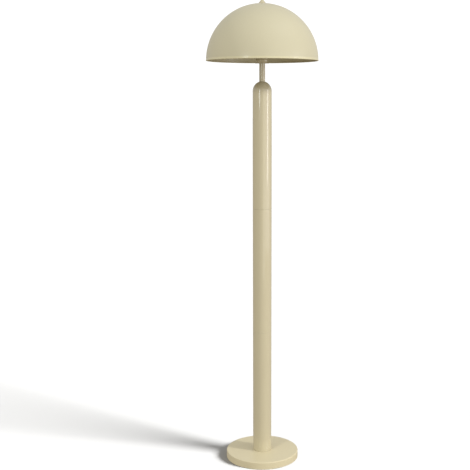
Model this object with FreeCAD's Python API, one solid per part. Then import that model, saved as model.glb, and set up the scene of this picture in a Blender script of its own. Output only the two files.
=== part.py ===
import FreeCAD, Part
import math
import os

from FreeCAD import Vector

# Mushroom floor lamp: half-sphere metal shade on a harp, thin neck, thick round column in three screwed
# sections, weighted round base. Millimetres, +Z up, origin at the middle of the base on the floor, and the
# front at -Y.

# ---------------------------------------------------------------- driving dimensions

# fits
slip_fit = 0.05                  # radial play of parts pushed, screwed or glued together
turning_fit = 0.08               # radial play of parts that turn in each other
hole_play = 0.3                  # radial play of a screw, pipe or stud in a plain hole

# base
base_diameter = 240.0
base_height = 24.0
base_sheet = 1.2
base_edge_round = 3.0
base_floor_gap = 1.0             # the cover's edge hangs this far above the floor
pad_thickness = 3.0
pad_inset = 3.0                  # pad's outer edge inside the weight's
pad_hub_reveal = 2.0             # iron left bare round the hub's recess
weight_play = 1.0                # weight inside the cover, all round
weight_edge_break = 2.5
weight_web = 10.0                # iron under the cover's flat top
weight_rim = 18.0                # width of the weight's outer ring
weight_hub_wall = 12.0
hub_recess_diameter = 72.0

# screws that hold the column's foot, from below
foot_screw_count = 3
foot_screw_circle = 40.0
foot_screw_diameter = 6.0
foot_screw_head_diameter = 10.0
foot_screw_head_height = 6.0
foot_screw_key = 5.0             # hexagon socket, across flats
foot_screw_key_depth = 3.0
foot_screw_bite = 10.0           # thread inside the foot plug
lock_washer_diameter = 11.0
lock_washer_thickness = 1.6

# lead and its way out at the back
lead_diameter = 5.5
lead_bend_radius = 12.0
lead_play = 1.0                  # room round the lead in the weight's groove
lead_passage_diameter = 24.0     # hole in the middle of the weight
lead_end_depth = 6.0             # lead inside the lampholder's body
foot_hole_diameter = 16.0        # hole for the lead in the cover and the foot plug
inlet_height = 9.5
bushing_play = 0.4               # radial play of a lead in the bushing
bushing_wall = 1.6
bushing_lip = 0.9
bushing_flange = 1.5
bushing_flange_thickness = 1.6
bushing_lip_thickness = 1.8
bushing_sleeve = 7.0             # length inside the cover's wall
bushing_pocket_play = 1.0

# column
column_diameter = 61.0
column_wall = 1.2
column_edge_break = 0.4
lower_section_length = 410.0
middle_section_length = 410.0
upper_section_length = 408.0     # to the top of its half-sphere end
plug_thickness = 12.0
foot_plug_thickness = 14.0
plug_edge_break = 0.8
nipple_diameter = 13.2
nipple_bore = 9.5
nipple_free_end = 2.0            # thread that shows under the jam nut
joint_nut_key = 19.0             # across flats
joint_nut_thickness = 5.0

# neck
neck_diameter = 19.0
neck_wall = 1.5
neck_length = 55.4
check_ring_thickness = 1.5
lamp_pipe_diameter = 9.7
lamp_pipe_bore = 7.0
lamp_pipe_free_end = 3.0
neck_washer_diameter = 17.0
neck_washer_thickness = 1.5
neck_nut_key = 14.0
neck_nut_thickness = 4.0

# lampholder
cap_diameter = 37.4
cap_wall = 1.0
cap_height = 20.0
cap_bowl_height = 8.0
cap_foot_diameter = 24.0
cap_hub_diameter = 15.0
cap_hub_height = 10.0
cap_rib_count = 24
cap_rib_radius = 0.8
cap_rib_margin = 1.2             # ribs stop short of the skirt's ends
body_diameter = 29.0
body_height = 26.0
shell_wall = 0.7
shell_height = 57.0
shell_curl = 2.0                 # turned-in mouth
liner_wall = 0.5
liner_setback = 2.0              # liner below the shell's mouth
screw_shell_wall = 0.4
screw_shell_height = 26.0
screw_shell_floor_hole = 12.0
centre_contact_diameter = 8.0
centre_contact_thickness = 1.2
terminal_screw_diameter = 3.5
terminal_screw_length = 7.0
terminal_head_diameter = 6.0
terminal_head_thickness = 1.4
terminal_height = 13.0           # above the body's foot
spindle_diameter = 5.0
spindle_depth = 9.0              # inside the body
spindle_height = 15.0            # above the body's foot
spindle_reach = 2.0              # free spindle between cap and knob
knob_diameter = 12.0
knob_length = 14.0
knob_bite = 9.0                  # spindle inside the knob
knob_flute_count = 10
knob_flute_radius = 1.1
knob_edge_round = 1.2

# bulb, a standard one: 26 mm screw cap, 60 mm across, 110 mm long
bulb_tip_diameter = 9.0
bulb_tip_height = 1.5
bulb_insulator_height = 2.5
bulb_insulator_depth = 2.0
bulb_cap_diameter = 26.4
bulb_cap_height = 21.8
bulb_thread_pitch = 3.63
bulb_thread_depth = 0.9
bulb_thread_turns = 5
bulb_cap_wall = 0.7
bulb_collar_diameter = 28.0
bulb_boss_depth = 6.0
bulb_housing_height = 34.0
bulb_housing_wall = 1.2
bulb_housing_floor = 2.5
bulb_waist = 3.0                 # how far the housing's side curves in
bulb_shoulder_diameter = 54.0
bulb_diameter = 60.0
bulb_widest_rise = 20.0          # from the shoulder up to the widest place
bulb_swell = 0.8                 # how far the side between them bows out
bulb_globe_wall = 1.2
bulb_board_thickness = 1.5
bulb_board_ledge = 2.3

# harp: the wire frame that carries the shade
saddle_thickness = 1.6
saddle_width = 13.0
saddle_clearance = 3.0           # between the lampholder's ribs and the saddle's arms
saddle_bend = 1.5                # inner radius
saddle_shoulder = 16.6           # height of the arms' full width
saddle_tongue_width = 4.4
saddle_tongue_height = 14.0
harp_height = 181.6              # saddle's floor to the shade's seat
harp_width = 110.0               # between the wire's middles
harp_wire_diameter = 4.0
harp_eye_rise = 5.0              # hook's height above the shoulder
harp_hook_bend = 3.0
harp_leg_length = 35.0           # straight leg above the hook
harp_flare_height = 36.0         # rise over which the legs spread
harp_flare_bend = 22.0
harp_side_bend = 40.0
harp_crown_bend = 46.0
harp_crown_drop = 6.6            # wire's middle below the shade's seat
harp_head_diameter = 14.0
harp_head_skirt = 3.5            # boss below the wire's middle
harp_head_break = 1.0
stud_diameter = 6.35
stud_bite = 6.0                  # thread inside the finial
stud_tip_break = 0.6
ferrule_length = 16.0
ferrule_wall = 1.0
ferrule_play = 0.15

# shade and finial
shade_diameter = 356.0
shade_sheet = 1.0
shade_flat_diameter = 24.0
shade_hole_play = 0.35
shade_bead_radius = 2.0
shade_bead_proud = 0.7           # bead outside the shade's surface
cushion_diameter = 20.0
cushion_thickness = 1.0
finial_washer_diameter = 23.4
finial_washer_thickness = 0.8
finial_base_diameter = 23.4
finial_base_edge = 1.0
finial_flare_height = 10.8
finial_flare_hollow = 0.9        # how far the flare curves in
finial_tip_diameter = 7.2
finial_height = 15.2
finial_bore_end_play = 0.8

# ---------------------------------------------------------------- places worked out from them

base_radius = base_diameter / 2
base_inner_radius = base_radius - base_sheet
weight_radius = base_inner_radius - weight_play
weight_top = base_height - base_sheet
weight_web_z = weight_top - weight_web
hub_recess_radius = hub_recess_diameter / 2
hub_radius = hub_recess_radius + weight_hub_wall
foot_screw_hole = foot_screw_diameter / 2 + hole_play

lead_radius = lead_diameter / 2
bushing_bore = lead_radius + bushing_play
bushing_radius = bushing_bore + bushing_wall
bushing_mouth_y = base_inner_radius - bushing_sleeve

column_radius = column_diameter / 2
column_inner_radius = column_radius - column_wall
plug_radius = column_inner_radius - slip_fit
lower_seam_z = base_height + lower_section_length
upper_seam_z = lower_seam_z + middle_section_length
dome_centre_z = upper_seam_z + upper_section_length - column_radius

neck_radius = neck_diameter / 2
pipe_radius = lamp_pipe_diameter / 2
pipe_hole = pipe_radius + hole_play
neck_foot_z = dome_centre_z + math.sqrt(column_radius ** 2 - neck_radius ** 2)
neck_washer_z = neck_foot_z - column_wall - neck_washer_thickness
neck_nut_z = neck_washer_z - neck_nut_thickness
neck_top_z = neck_foot_z + neck_length
saddle_z = neck_top_z + check_ring_thickness

cap_z = saddle_z + saddle_thickness
cap_radius = cap_diameter / 2
body_z = cap_z + cap_hub_height
body_radius = body_diameter / 2
body_top_z = body_z + body_height
cap_bowl_z = cap_z + cap_bowl_height
shell_z = cap_bowl_z
shell_top_z = shell_z + shell_height
shell_radius = cap_radius - cap_wall - slip_fit
shell_inner_radius = shell_radius - shell_wall
liner_radius = shell_inner_radius - slip_fit
spindle_radius = spindle_diameter / 2
spindle_z = body_z + spindle_height
knob_y = -(cap_radius + cap_rib_radius + spindle_reach)

bulb_tip_z = body_top_z + centre_contact_thickness
bulb_insulator_z = bulb_tip_z + bulb_tip_height
bulb_cap_z = bulb_insulator_z + bulb_insulator_height
bulb_collar_z = bulb_cap_z + bulb_cap_height
bulb_shoulder_z = bulb_collar_z + bulb_housing_height
bulb_widest_z = bulb_shoulder_z + bulb_widest_rise
bulb_cap_radius = bulb_cap_diameter / 2
bulb_cap_root = bulb_cap_radius - bulb_thread_depth
bulb_cap_inner = bulb_cap_root - bulb_cap_wall
bulb_shoulder_radius = bulb_shoulder_diameter / 2
screw_shell_inner = bulb_cap_radius + turning_fit

arm_inner_x = cap_radius + cap_rib_radius + saddle_clearance
arm_outer_x = arm_inner_x + saddle_thickness
shoulder_z = saddle_z + saddle_shoulder
tongue_top_z = shoulder_z + saddle_tongue_height
harp_wire_radius = harp_wire_diameter / 2
eye_z = shoulder_z + harp_eye_rise
leg_x = arm_outer_x + harp_wire_radius
ferrule_x = (arm_inner_x + leg_x + harp_wire_radius) / 2
ferrule_bore = math.hypot(ferrule_x - arm_inner_x, saddle_tongue_width / 2) + ferrule_play
seat_z = cap_z + harp_height
harp_crown_z = seat_z - harp_crown_drop
stud_radius = stud_diameter / 2
stud_hole = stud_radius + hole_play

shade_radius = shade_diameter / 2
shade_flat_z = seat_z + cushion_thickness + shade_sheet
shade_centre_z = shade_flat_z - math.sqrt(shade_radius ** 2 - (shade_flat_diameter / 2) ** 2)
finial_z = shade_flat_z + finial_washer_thickness
stud_top_z = finial_z + stud_bite

# ---------------------------------------------------------------- tools of the trade

ORIGIN = Vector(0, 0, 0)
ALONG_X = Vector(1, 0, 0)
ALONG_Y = Vector(0, 1, 0)
ALONG_Z = Vector(0, 0, 1)
FULL_TURN = 360.0
MARGIN = 1.0                     # how far a cutting shape runs past what it cuts


def rod(radius, z_low, z_high, x=0.0, y=0.0):
    """Upright round bar between two heights."""
    return Part.makeCylinder(radius, z_high - z_low, Vector(x, y, z_low))


def tube(outer, inner, z_low, z_high):
    """Upright round tube on the lamp's axis."""
    return rod(outer, z_low, z_high).cut(rod(inner, z_low - MARGIN, z_high + MARGIN))


def bar_along(direction, radius, start, length):
    """Round bar from a point along a direction."""
    return Part.makeCylinder(radius, length, start, direction)


def hexagon(across_flats, z_low, z_high):
    """Upright hexagonal bar on the lamp's axis."""
    corner = across_flats / 2 / math.cos(math.pi / 6)
    points = [Vector(corner * math.cos(k * math.pi / 3), corner * math.sin(k * math.pi / 3), z_low)
              for k in range(7)]
    return Part.Face(Part.makePolygon(points)).extrude(ALONG_Z * (z_high - z_low))


def outline(start, *steps):
    """Closed face in the XZ plane from (x, z) points.

    A step is the next point, or a pair: a point that an arc passes through and the arc's end.
    """
    here = Vector(start[0], 0, start[1])
    edges = []
    for step in steps + (start,):
        if isinstance(step[0], tuple):
            through, end = (Vector(x, 0, z) for x, z in step)
            edges.append(Part.Arc(here, through, end).toShape())
        else:
            end = Vector(step[0], 0, step[1])
            edges.append(Part.LineSegment(here, end).toShape())
        here = end
    return Part.Face(Part.Wire(edges))


def turned(face):
    """Solid turned about the lamp's axis from an outline of (radius, height) points."""
    return face.revolve(ORIGIN, ALONG_Z, FULL_TURN)


def on_circle(centre_x, centre_z, radius, degrees):
    """Point of a circle in the XZ plane, the angle counted up from +X."""
    angle = math.radians(degrees)
    return (centre_x + radius * math.cos(angle), centre_z + radius * math.sin(angle))


def arc_angle(radius, height):
    """Angle in degrees, up from level, of the point of a circle at a height above its middle."""
    return math.degrees(math.asin(height / radius))


def around(shape, count, first_degrees):
    """Copies of a shape evenly round the lamp's axis."""
    copies = []
    for k in range(count):
        copy = shape.copy()
        copy.rotate(ORIGIN, ALONG_Z, first_degrees + k * FULL_TURN / count)
        copies.append(copy)
    return copies


def bent_path(points, radii):
    """Wire of straight runs joined by tangent arcs, with one radius for each inner point."""
    edges = []
    start = points[0]
    for before, corner, after, radius in zip(points, points[1:], points[2:], radii):
        back = (before - corner).normalize()
        ahead = (after - corner).normalize()
        half_angle = back.getAngle(ahead) / 2
        middle = (back + ahead).normalize()
        tangent = radius / math.tan(half_angle)
        arc_start = corner + back * tangent
        arc_end = corner + ahead * tangent
        arc_middle = corner + middle * (radius / math.sin(half_angle) - radius)
        edges.append(Part.LineSegment(start, arc_start).toShape())
        edges.append(Part.Arc(arc_start, arc_middle, arc_end).toShape())
        start = arc_end
    edges.append(Part.LineSegment(start, points[-1]).toShape())
    return Part.Wire(edges)


def round_wire(path, radius, direction):
    """Round bar swept along a path that starts in the given direction."""
    start = path.OrderedVertexes[0].Point
    section = Part.Wire(Part.makeCircle(radius, start, direction))
    return path.makePipeShell([section], True, False)


# ---------------------------------------------------------------- base


def foot_screw_holes(radius, z_low, z_high):
    """Upright bars on the foot screws' circle; none lies over the lead's groove at the back."""
    bar = rod(radius, z_low, z_high, x=foot_screw_circle / 2)
    return around(bar, foot_screw_count, first_degrees=-90.0)


def make_base_pad():
    """Foam ring that the lamp stands on."""
    return tube(weight_radius - pad_inset, hub_recess_radius + pad_hub_reveal, 0.0, pad_thickness)


def make_base_weight():
    """Iron disc, hollow underneath between ring and hub, with the lead's groove to the back."""
    rim_inner = weight_radius - weight_rim
    passage = lead_passage_diameter / 2
    weight = turned(outline(
        (passage, weight_top),
        (weight_radius - weight_edge_break, weight_top),
        (weight_radius, weight_top - weight_edge_break),
        (weight_radius, pad_thickness),
        (rim_inner, pad_thickness),
        (rim_inner, weight_web_z),
        (hub_radius, weight_web_z),
        (hub_radius, pad_thickness),
        (hub_recess_radius, pad_thickness),
        (hub_recess_radius, weight_web_z),
        (passage, weight_web_z)))
    groove_half = lead_radius + lead_play
    groove = Part.makeBox(2 * groove_half, weight_radius + MARGIN, inlet_height + groove_half,
                          Vector(-groove_half, 0, 0))
    pocket_half = bushing_radius + bushing_lip + bushing_pocket_play
    pocket_y = bushing_mouth_y - bushing_pocket_play
    pocket = Part.makeBox(2 * pocket_half, base_radius - pocket_y, inlet_height + pocket_half,
                          Vector(-pocket_half, pocket_y, 0))
    holes = foot_screw_holes(foot_screw_hole, weight_web_z - MARGIN, base_height)
    return weight.cut([groove, pocket] + holes)


def make_base_cover():
    """Sheet metal cover: flat top, rounded edge, straight side."""
    inner_round = base_edge_round - base_sheet
    round_x = base_radius - base_edge_round
    round_z = base_height - base_edge_round
    cover = turned(outline(
        (foot_hole_diameter / 2, base_height),
        (round_x, base_height),
        (on_circle(round_x, round_z, base_edge_round, 45.0), (base_radius, round_z)),
        (base_radius, base_floor_gap),
        (base_inner_radius, base_floor_gap),
        (base_inner_radius, round_z),
        (on_circle(round_x, round_z, inner_round, 45.0), (round_x, weight_top)),
        (foot_hole_diameter / 2, weight_top)))
    inlet = bar_along(ALONG_Y, bushing_radius + slip_fit, Vector(0, 0, inlet_height), base_diameter)
    holes = foot_screw_holes(foot_screw_hole, weight_top - MARGIN, base_height + MARGIN)
    return cover.cut([inlet] + holes)


def make_foot_screws():
    """Socket screws that pull the column's foot down on the cover and the weight."""
    head_top = weight_web_z - lock_washer_thickness
    head_foot = head_top - foot_screw_head_height
    screw = rod(foot_screw_head_diameter / 2, head_foot, head_top).fuse(
        rod(foot_screw_diameter / 2, head_top, base_height + foot_screw_bite))
    screw = screw.cut(hexagon(foot_screw_key, head_foot, head_foot + foot_screw_key_depth))
    screw.translate(ALONG_X * (foot_screw_circle / 2))
    return Part.makeCompound(around(screw.removeSplitter(), foot_screw_count, first_degrees=-90.0))


def make_foot_lock_washers():
    """Spring washers between the screws' heads and the weight."""
    washer = tube(lock_washer_diameter / 2, foot_screw_diameter / 2 + slip_fit,
                  weight_web_z - lock_washer_thickness, weight_web_z)
    washer.translate(ALONG_X * (foot_screw_circle / 2))
    return Part.makeCompound(around(washer, foot_screw_count, first_degrees=-90.0))


def make_cord_bushing():
    """Bushing in the cover's side: flange outside, lip inside, a sleeve in to the lead's end."""
    axis_point = Vector(0, bushing_mouth_y, inlet_height)
    length = base_radius + bushing_flange_thickness - bushing_mouth_y
    sleeve = bar_along(ALONG_Y, bushing_radius, axis_point, length)
    outside = rod(base_radius, 0.0, base_height)
    flange = bar_along(ALONG_Y, bushing_radius + bushing_flange, axis_point, length).cut(outside)
    lip_start = Vector(0, base_inner_radius - bushing_lip_thickness, inlet_height)
    inside = rod(base_inner_radius, 0.0, base_height)
    lip = bar_along(ALONG_Y, bushing_radius + bushing_lip, lip_start, length).common(inside)
    bore = bar_along(ALONG_Y, bushing_bore, axis_point - ALONG_Y, length + 2 * MARGIN)
    return sleeve.fuse([flange, lip]).cut(bore)


# ---------------------------------------------------------------- column


def make_column_tube(z_low, z_high):
    """Open column section with broken outer edges, which show as a fine seam."""
    return turned(outline(
        (column_inner_radius, z_low),
        (column_radius - column_edge_break, z_low),
        (column_radius, z_low + column_edge_break),
        (column_radius, z_high - column_edge_break),
        (column_radius - column_edge_break, z_high),
        (column_inner_radius, z_high)))


def make_upper_tube():
    """Top column section, formed into a half-sphere with a small flat for the neck."""
    inner_flat_z = neck_foot_z - column_wall
    outer_end = arc_angle(column_radius, neck_foot_z - dome_centre_z)
    inner_end = arc_angle(column_inner_radius, inner_flat_z - dome_centre_z)
    return turned(outline(
        (column_inner_radius, upper_seam_z),
        (column_radius - column_edge_break, upper_seam_z),
        (column_radius, upper_seam_z + column_edge_break),
        (column_radius, dome_centre_z),
        (on_circle(0, dome_centre_z, column_radius, outer_end / 2), (neck_radius, neck_foot_z)),
        (pipe_hole, neck_foot_z),
        (pipe_hole, inner_flat_z),
        on_circle(0, dome_centre_z, column_inner_radius, inner_end),
        (on_circle(0, dome_centre_z, column_inner_radius, inner_end / 2),
         (column_inner_radius, dome_centre_z))))


def make_plug(z_low, z_high, bore):
    """Turned disc inside a tube's end."""
    return turned(outline(
        (bore, z_low),
        (plug_radius - plug_edge_break, z_low),
        (plug_radius, z_low + plug_edge_break),
        (plug_radius, z_high - plug_edge_break),
        (plug_radius - plug_edge_break, z_high),
        (bore, z_high)))


def make_foot_plug():
    """Disc in the column's foot, tapped for the foot screws, with a hole for the lead."""
    top = base_height + foot_plug_thickness
    plug = make_plug(base_height, top, foot_hole_diameter / 2)
    thread_hole = foot_screw_diameter / 2 + slip_fit
    return plug.cut(foot_screw_holes(thread_hole, base_height - MARGIN, top + MARGIN))


def make_joint_plug(z_low):
    """Disc in a tube's end, tapped for the pipe that joins two sections."""
    return make_plug(z_low, z_low + plug_thickness, nipple_diameter / 2 + slip_fit)


def make_joint_nipple(seam_z):
    """Hollow threaded pipe through both plugs at a seam, long enough for a jam nut below."""
    low = seam_z - plug_thickness - joint_nut_thickness - nipple_free_end
    return tube(nipple_diameter / 2, nipple_bore / 2, low, seam_z + plug_thickness)


def make_joint_nuts():
    """Jam nuts under the lower plug of each seam."""
    nuts = []
    for seam_z in (lower_seam_z, upper_seam_z):
        top = seam_z - plug_thickness
        low = top - joint_nut_thickness
        hole = rod(nipple_diameter / 2 + slip_fit, low - MARGIN, top + MARGIN)
        nuts.append(hexagon(joint_nut_key, low, top).cut(hole))
    return Part.makeCompound(nuts)


# ---------------------------------------------------------------- neck


def make_neck_tube():
    """Thin tube between the column and the harp's saddle."""
    return tube(neck_radius, neck_radius - neck_wall, neck_foot_z, neck_top_z)


def make_check_ring():
    """Ring that centres the neck's top on the pipe."""
    return tube(neck_radius, pipe_hole, neck_top_z, saddle_z)


def make_lamp_pipe():
    """Hollow threaded pipe that pulls lampholder, saddle and neck down on the column's top."""
    return tube(pipe_radius, lamp_pipe_bore / 2, neck_nut_z - lamp_pipe_free_end, body_z)


def make_neck_washer():
    """Washer inside the column's rounded end."""
    return tube(neck_washer_diameter / 2, pipe_hole, neck_washer_z, neck_foot_z - column_wall)


def make_neck_nut():
    """Nut on the pipe, inside the column's rounded end."""
    hole = rod(pipe_radius + slip_fit, neck_nut_z - MARGIN, neck_washer_z + MARGIN)
    return hexagon(neck_nut_key, neck_nut_z, neck_washer_z).cut(hole)


# ---------------------------------------------------------------- lampholder


def make_socket_cap():
    """Lower cup of the lampholder: small foot, bowl, ribbed skirt, and a tapped hub inside."""
    run = cap_radius - cap_foot_diameter / 2
    bowl_radius = (run ** 2 + cap_bowl_height ** 2) / (2 * run)
    bowl_x = cap_radius - bowl_radius
    inner_bowl = bowl_radius - cap_wall
    outer_end = arc_angle(bowl_radius, -cap_bowl_height)
    inner_end = arc_angle(inner_bowl, cap_wall - cap_bowl_height)
    hub_radius_in_cap = cap_hub_diameter / 2
    thread_hole = pipe_radius + slip_fit
    cap = turned(outline(
        (thread_hole, cap_z),
        (cap_foot_diameter / 2, cap_z),
        (on_circle(bowl_x, cap_bowl_z, bowl_radius, outer_end / 2), (cap_radius, cap_bowl_z)),
        (cap_radius, cap_z + cap_height),
        (cap_radius - cap_wall, cap_z + cap_height),
        (cap_radius - cap_wall, cap_bowl_z),
        (on_circle(bowl_x, cap_bowl_z, inner_bowl, inner_end / 2),
         on_circle(bowl_x, cap_bowl_z, inner_bowl, inner_end)),
        (hub_radius_in_cap, cap_z + cap_wall),
        (hub_radius_in_cap, body_z),
        (thread_hole, body_z)))
    cap_top_z = cap_z + cap_height
    rib = rod(cap_rib_radius, cap_bowl_z + cap_rib_margin, cap_top_z - cap_rib_margin, x=cap_radius)
    bore = rod(cap_radius - cap_wall / 2, cap_bowl_z, cap_top_z)
    ribs = [piece.cut(bore) for piece in around(rib, cap_rib_count, first_degrees=0.0)]
    return cap.fuse(ribs)


def make_socket_body():
    """Moulded body that holds the switch, the contacts and the lead's end."""
    body = rod(body_radius, body_z, body_top_z)
    lead_hole = rod(lead_radius + slip_fit, body_z - MARGIN, body_z + lead_end_depth)
    spindle_hole = bar_along(-ALONG_Y, spindle_radius + turning_fit,
                             Vector(0, spindle_depth - body_radius, spindle_z), body_radius)
    screw_holes = [bar_along(side * ALONG_X, terminal_screw_diameter / 2 + slip_fit,
                             Vector(side * (body_radius - terminal_screw_length), 0,
                                    body_z + terminal_height), body_radius)
                   for side in (-1, 1)]
    return body.cut([lead_hole, spindle_hole] + screw_holes)


def make_terminal_screws():
    """Two screws in the body's sides that take the lead's wires."""
    height = body_z + terminal_height
    screws = []
    for side in (-1, 1):
        inner_end = Vector(side * (body_radius - terminal_screw_length), 0, height)
        shank = bar_along(side * ALONG_X, terminal_screw_diameter / 2, inner_end, terminal_screw_length)
        head = bar_along(side * ALONG_X, terminal_head_diameter / 2,
                         Vector(side * body_radius, 0, height), terminal_head_thickness)
        screws.append(shank.fuse(head))
    return Part.makeCompound(screws)


def spindle_way():
    """Round way for the switch spindle through liner and shell."""
    return bar_along(-ALONG_Y, spindle_radius + hole_play, Vector(0, 0, spindle_z), cap_diameter)


def make_socket_liner():
    """Insulating sleeve between body and shell."""
    liner = tube(liner_radius, liner_radius - liner_wall, shell_z, shell_top_z - liner_setback)
    return liner.cut(spindle_way())


def make_socket_shell():
    """Outer metal sleeve of the lampholder, its mouth turned in."""
    curl_z = shell_top_z - shell_curl
    mouth = shell_radius - shell_curl
    inner_curl = shell_curl - shell_wall
    shell = turned(outline(
        (shell_inner_radius, shell_z),
        (shell_radius, shell_z),
        (shell_radius, curl_z),
        (on_circle(mouth, curl_z, shell_curl, 45.0), (mouth, shell_top_z)),
        (mouth, shell_top_z - shell_wall),
        (on_circle(mouth, curl_z, inner_curl, 45.0), (shell_inner_radius, curl_z))))
    return shell.cut(spindle_way())


def make_screw_shell():
    """Metal cup that takes the bulb's screw cap, open in the floor for the centre contact."""
    floor_z = body_top_z + screw_shell_wall
    outer = screw_shell_inner + screw_shell_wall
    return turned(outline(
        (screw_shell_floor_hole / 2, body_top_z),
        (outer, body_top_z),
        (outer, body_top_z + screw_shell_height),
        (screw_shell_inner, body_top_z + screw_shell_height),
        (screw_shell_inner, floor_z),
        (screw_shell_floor_hole / 2, floor_z)))


def make_centre_contact():
    """Contact under the bulb's tip."""
    return rod(centre_contact_diameter / 2, body_top_z, bulb_tip_z)


def make_switch_spindle():
    """Round spindle from the switch in the body out to the knob."""
    start = Vector(0, spindle_depth - body_radius, spindle_z)
    return bar_along(-ALONG_Y, spindle_radius, start, start.y - knob_y + knob_bite)


def make_switch_knob():
    """Fluted knob on the spindle."""
    back = Vector(0, knob_y, spindle_z)
    knob = bar_along(-ALONG_Y, knob_diameter / 2, back, knob_length)
    front_edges = [edge for edge in knob.Edges
                   if abs(edge.BoundBox.YMin - (knob_y - knob_length)) < slip_fit
                   and edge.BoundBox.YLength < slip_fit]
    knob = knob.makeFillet(knob_edge_round, front_edges)
    flutes = []
    for k in range(knob_flute_count):
        x, z = on_circle(0, spindle_z, knob_diameter / 2, k * FULL_TURN / knob_flute_count)
        flutes.append(bar_along(-ALONG_Y, knob_flute_radius, Vector(x, knob_y + MARGIN, z),
                                knob_length + 2 * MARGIN))
    bore = bar_along(-ALONG_Y, spindle_radius + slip_fit, back + ALONG_Y, knob_bite + MARGIN)
    return knob.cut(flutes + [bore])


def make_internal_lead():
    """Lead that the lamp holds all the way: down the column, one bend, then the groove to the bushing."""
    path = bent_path([Vector(0, 0, body_z + lead_end_depth),
                      Vector(0, 0, inlet_height),
                      Vector(0, bushing_mouth_y, inlet_height)], [lead_bend_radius])
    return round_wire(path, lead_radius, -ALONG_Z)


# ---------------------------------------------------------------- bulb


def make_bulb_contact():
    """Soldered tip of the screw cap."""
    return rod(bulb_tip_diameter / 2, bulb_tip_z, bulb_insulator_z)


def make_bulb_insulator():
    """Glass cone between tip and screw cap, seated inside the cap."""
    seat = bulb_cap_inner - slip_fit
    return turned(outline(
        (0, bulb_insulator_z),
        (bulb_tip_diameter / 2, bulb_insulator_z),
        (seat, bulb_cap_z),
        (seat, bulb_cap_z + bulb_insulator_depth),
        (0, bulb_cap_z + bulb_insulator_depth)))


def make_bulb_cap():
    """Screw cap with round thread ridges."""
    ridge_height = bulb_thread_pitch / 2
    threads_z = bulb_cap_z + (bulb_cap_height - bulb_thread_turns * bulb_thread_pitch) / 2
    steps = [(bulb_cap_root, bulb_cap_z)]
    for turn in range(bulb_thread_turns):
        low = threads_z + turn * bulb_thread_pitch + ridge_height / 2
        steps.append((bulb_cap_root, low))
        steps.append(((bulb_cap_radius, low + ridge_height / 2), (bulb_cap_root, low + ridge_height)))
    steps.append((bulb_cap_root, bulb_collar_z))
    steps.append((bulb_cap_inner, bulb_collar_z))
    return turned(outline((bulb_cap_inner, bulb_cap_z), *steps))


def make_bulb_housing():
    """Moulded lower half of the bulb, with a boss in the cap and a ledge for the light board."""
    boss = bulb_cap_inner - slip_fit
    collar = bulb_collar_diameter / 2
    floor_z = bulb_collar_z + bulb_housing_floor
    inner_shoulder = bulb_shoulder_radius - bulb_housing_wall
    ledge = inner_shoulder - bulb_board_ledge
    ledge_z = bulb_shoulder_z - bulb_board_thickness
    side_middle = ((collar + bulb_shoulder_radius) / 2 - bulb_waist,
                   (bulb_collar_z + bulb_shoulder_z) / 2)
    inner_foot = boss - bulb_housing_wall
    inner_middle = ((inner_foot + ledge) / 2 - bulb_waist, (floor_z + ledge_z) / 2)
    return turned(outline(
        (0, bulb_collar_z - bulb_boss_depth),
        (boss, bulb_collar_z - bulb_boss_depth),
        (boss, bulb_collar_z),
        (collar, bulb_collar_z),
        (side_middle, (bulb_shoulder_radius, bulb_shoulder_z)),
        (inner_shoulder, bulb_shoulder_z),
        (inner_shoulder, ledge_z),
        (ledge, ledge_z),
        (inner_middle, (inner_foot, floor_z)),
        (0, floor_z)))


def make_bulb_board():
    """Round board with the light source, on the housing's ledge."""
    radius = bulb_shoulder_radius - bulb_housing_wall - slip_fit
    return rod(radius, bulb_shoulder_z - bulb_board_thickness, bulb_shoulder_z)


def globe_outline(inset):
    """Corner, bow, widest place, top bend and top of the globe, all moved in by an inset."""
    radius = bulb_diameter / 2 - inset
    shoulder = bulb_shoulder_radius - inset
    bow = ((shoulder + radius) / 2 + bulb_swell, (bulb_shoulder_z + bulb_widest_z) / 2)
    return ((shoulder, bulb_shoulder_z), bow, (radius, bulb_widest_z),
            on_circle(0, bulb_widest_z, radius, 45.0), (0, bulb_widest_z + radius))


def make_bulb_globe():
    """Frosted globe on the housing's top edge."""
    foot, bow, widest, bend, top = globe_outline(0.0)
    inner_foot, inner_bow, inner_widest, inner_bend, inner_top = globe_outline(bulb_globe_wall)
    return turned(outline(foot, (bow, widest), (bend, top), inner_top,
                          (inner_bend, inner_widest), (inner_bow, inner_foot)))


# ---------------------------------------------------------------- harp


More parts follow.
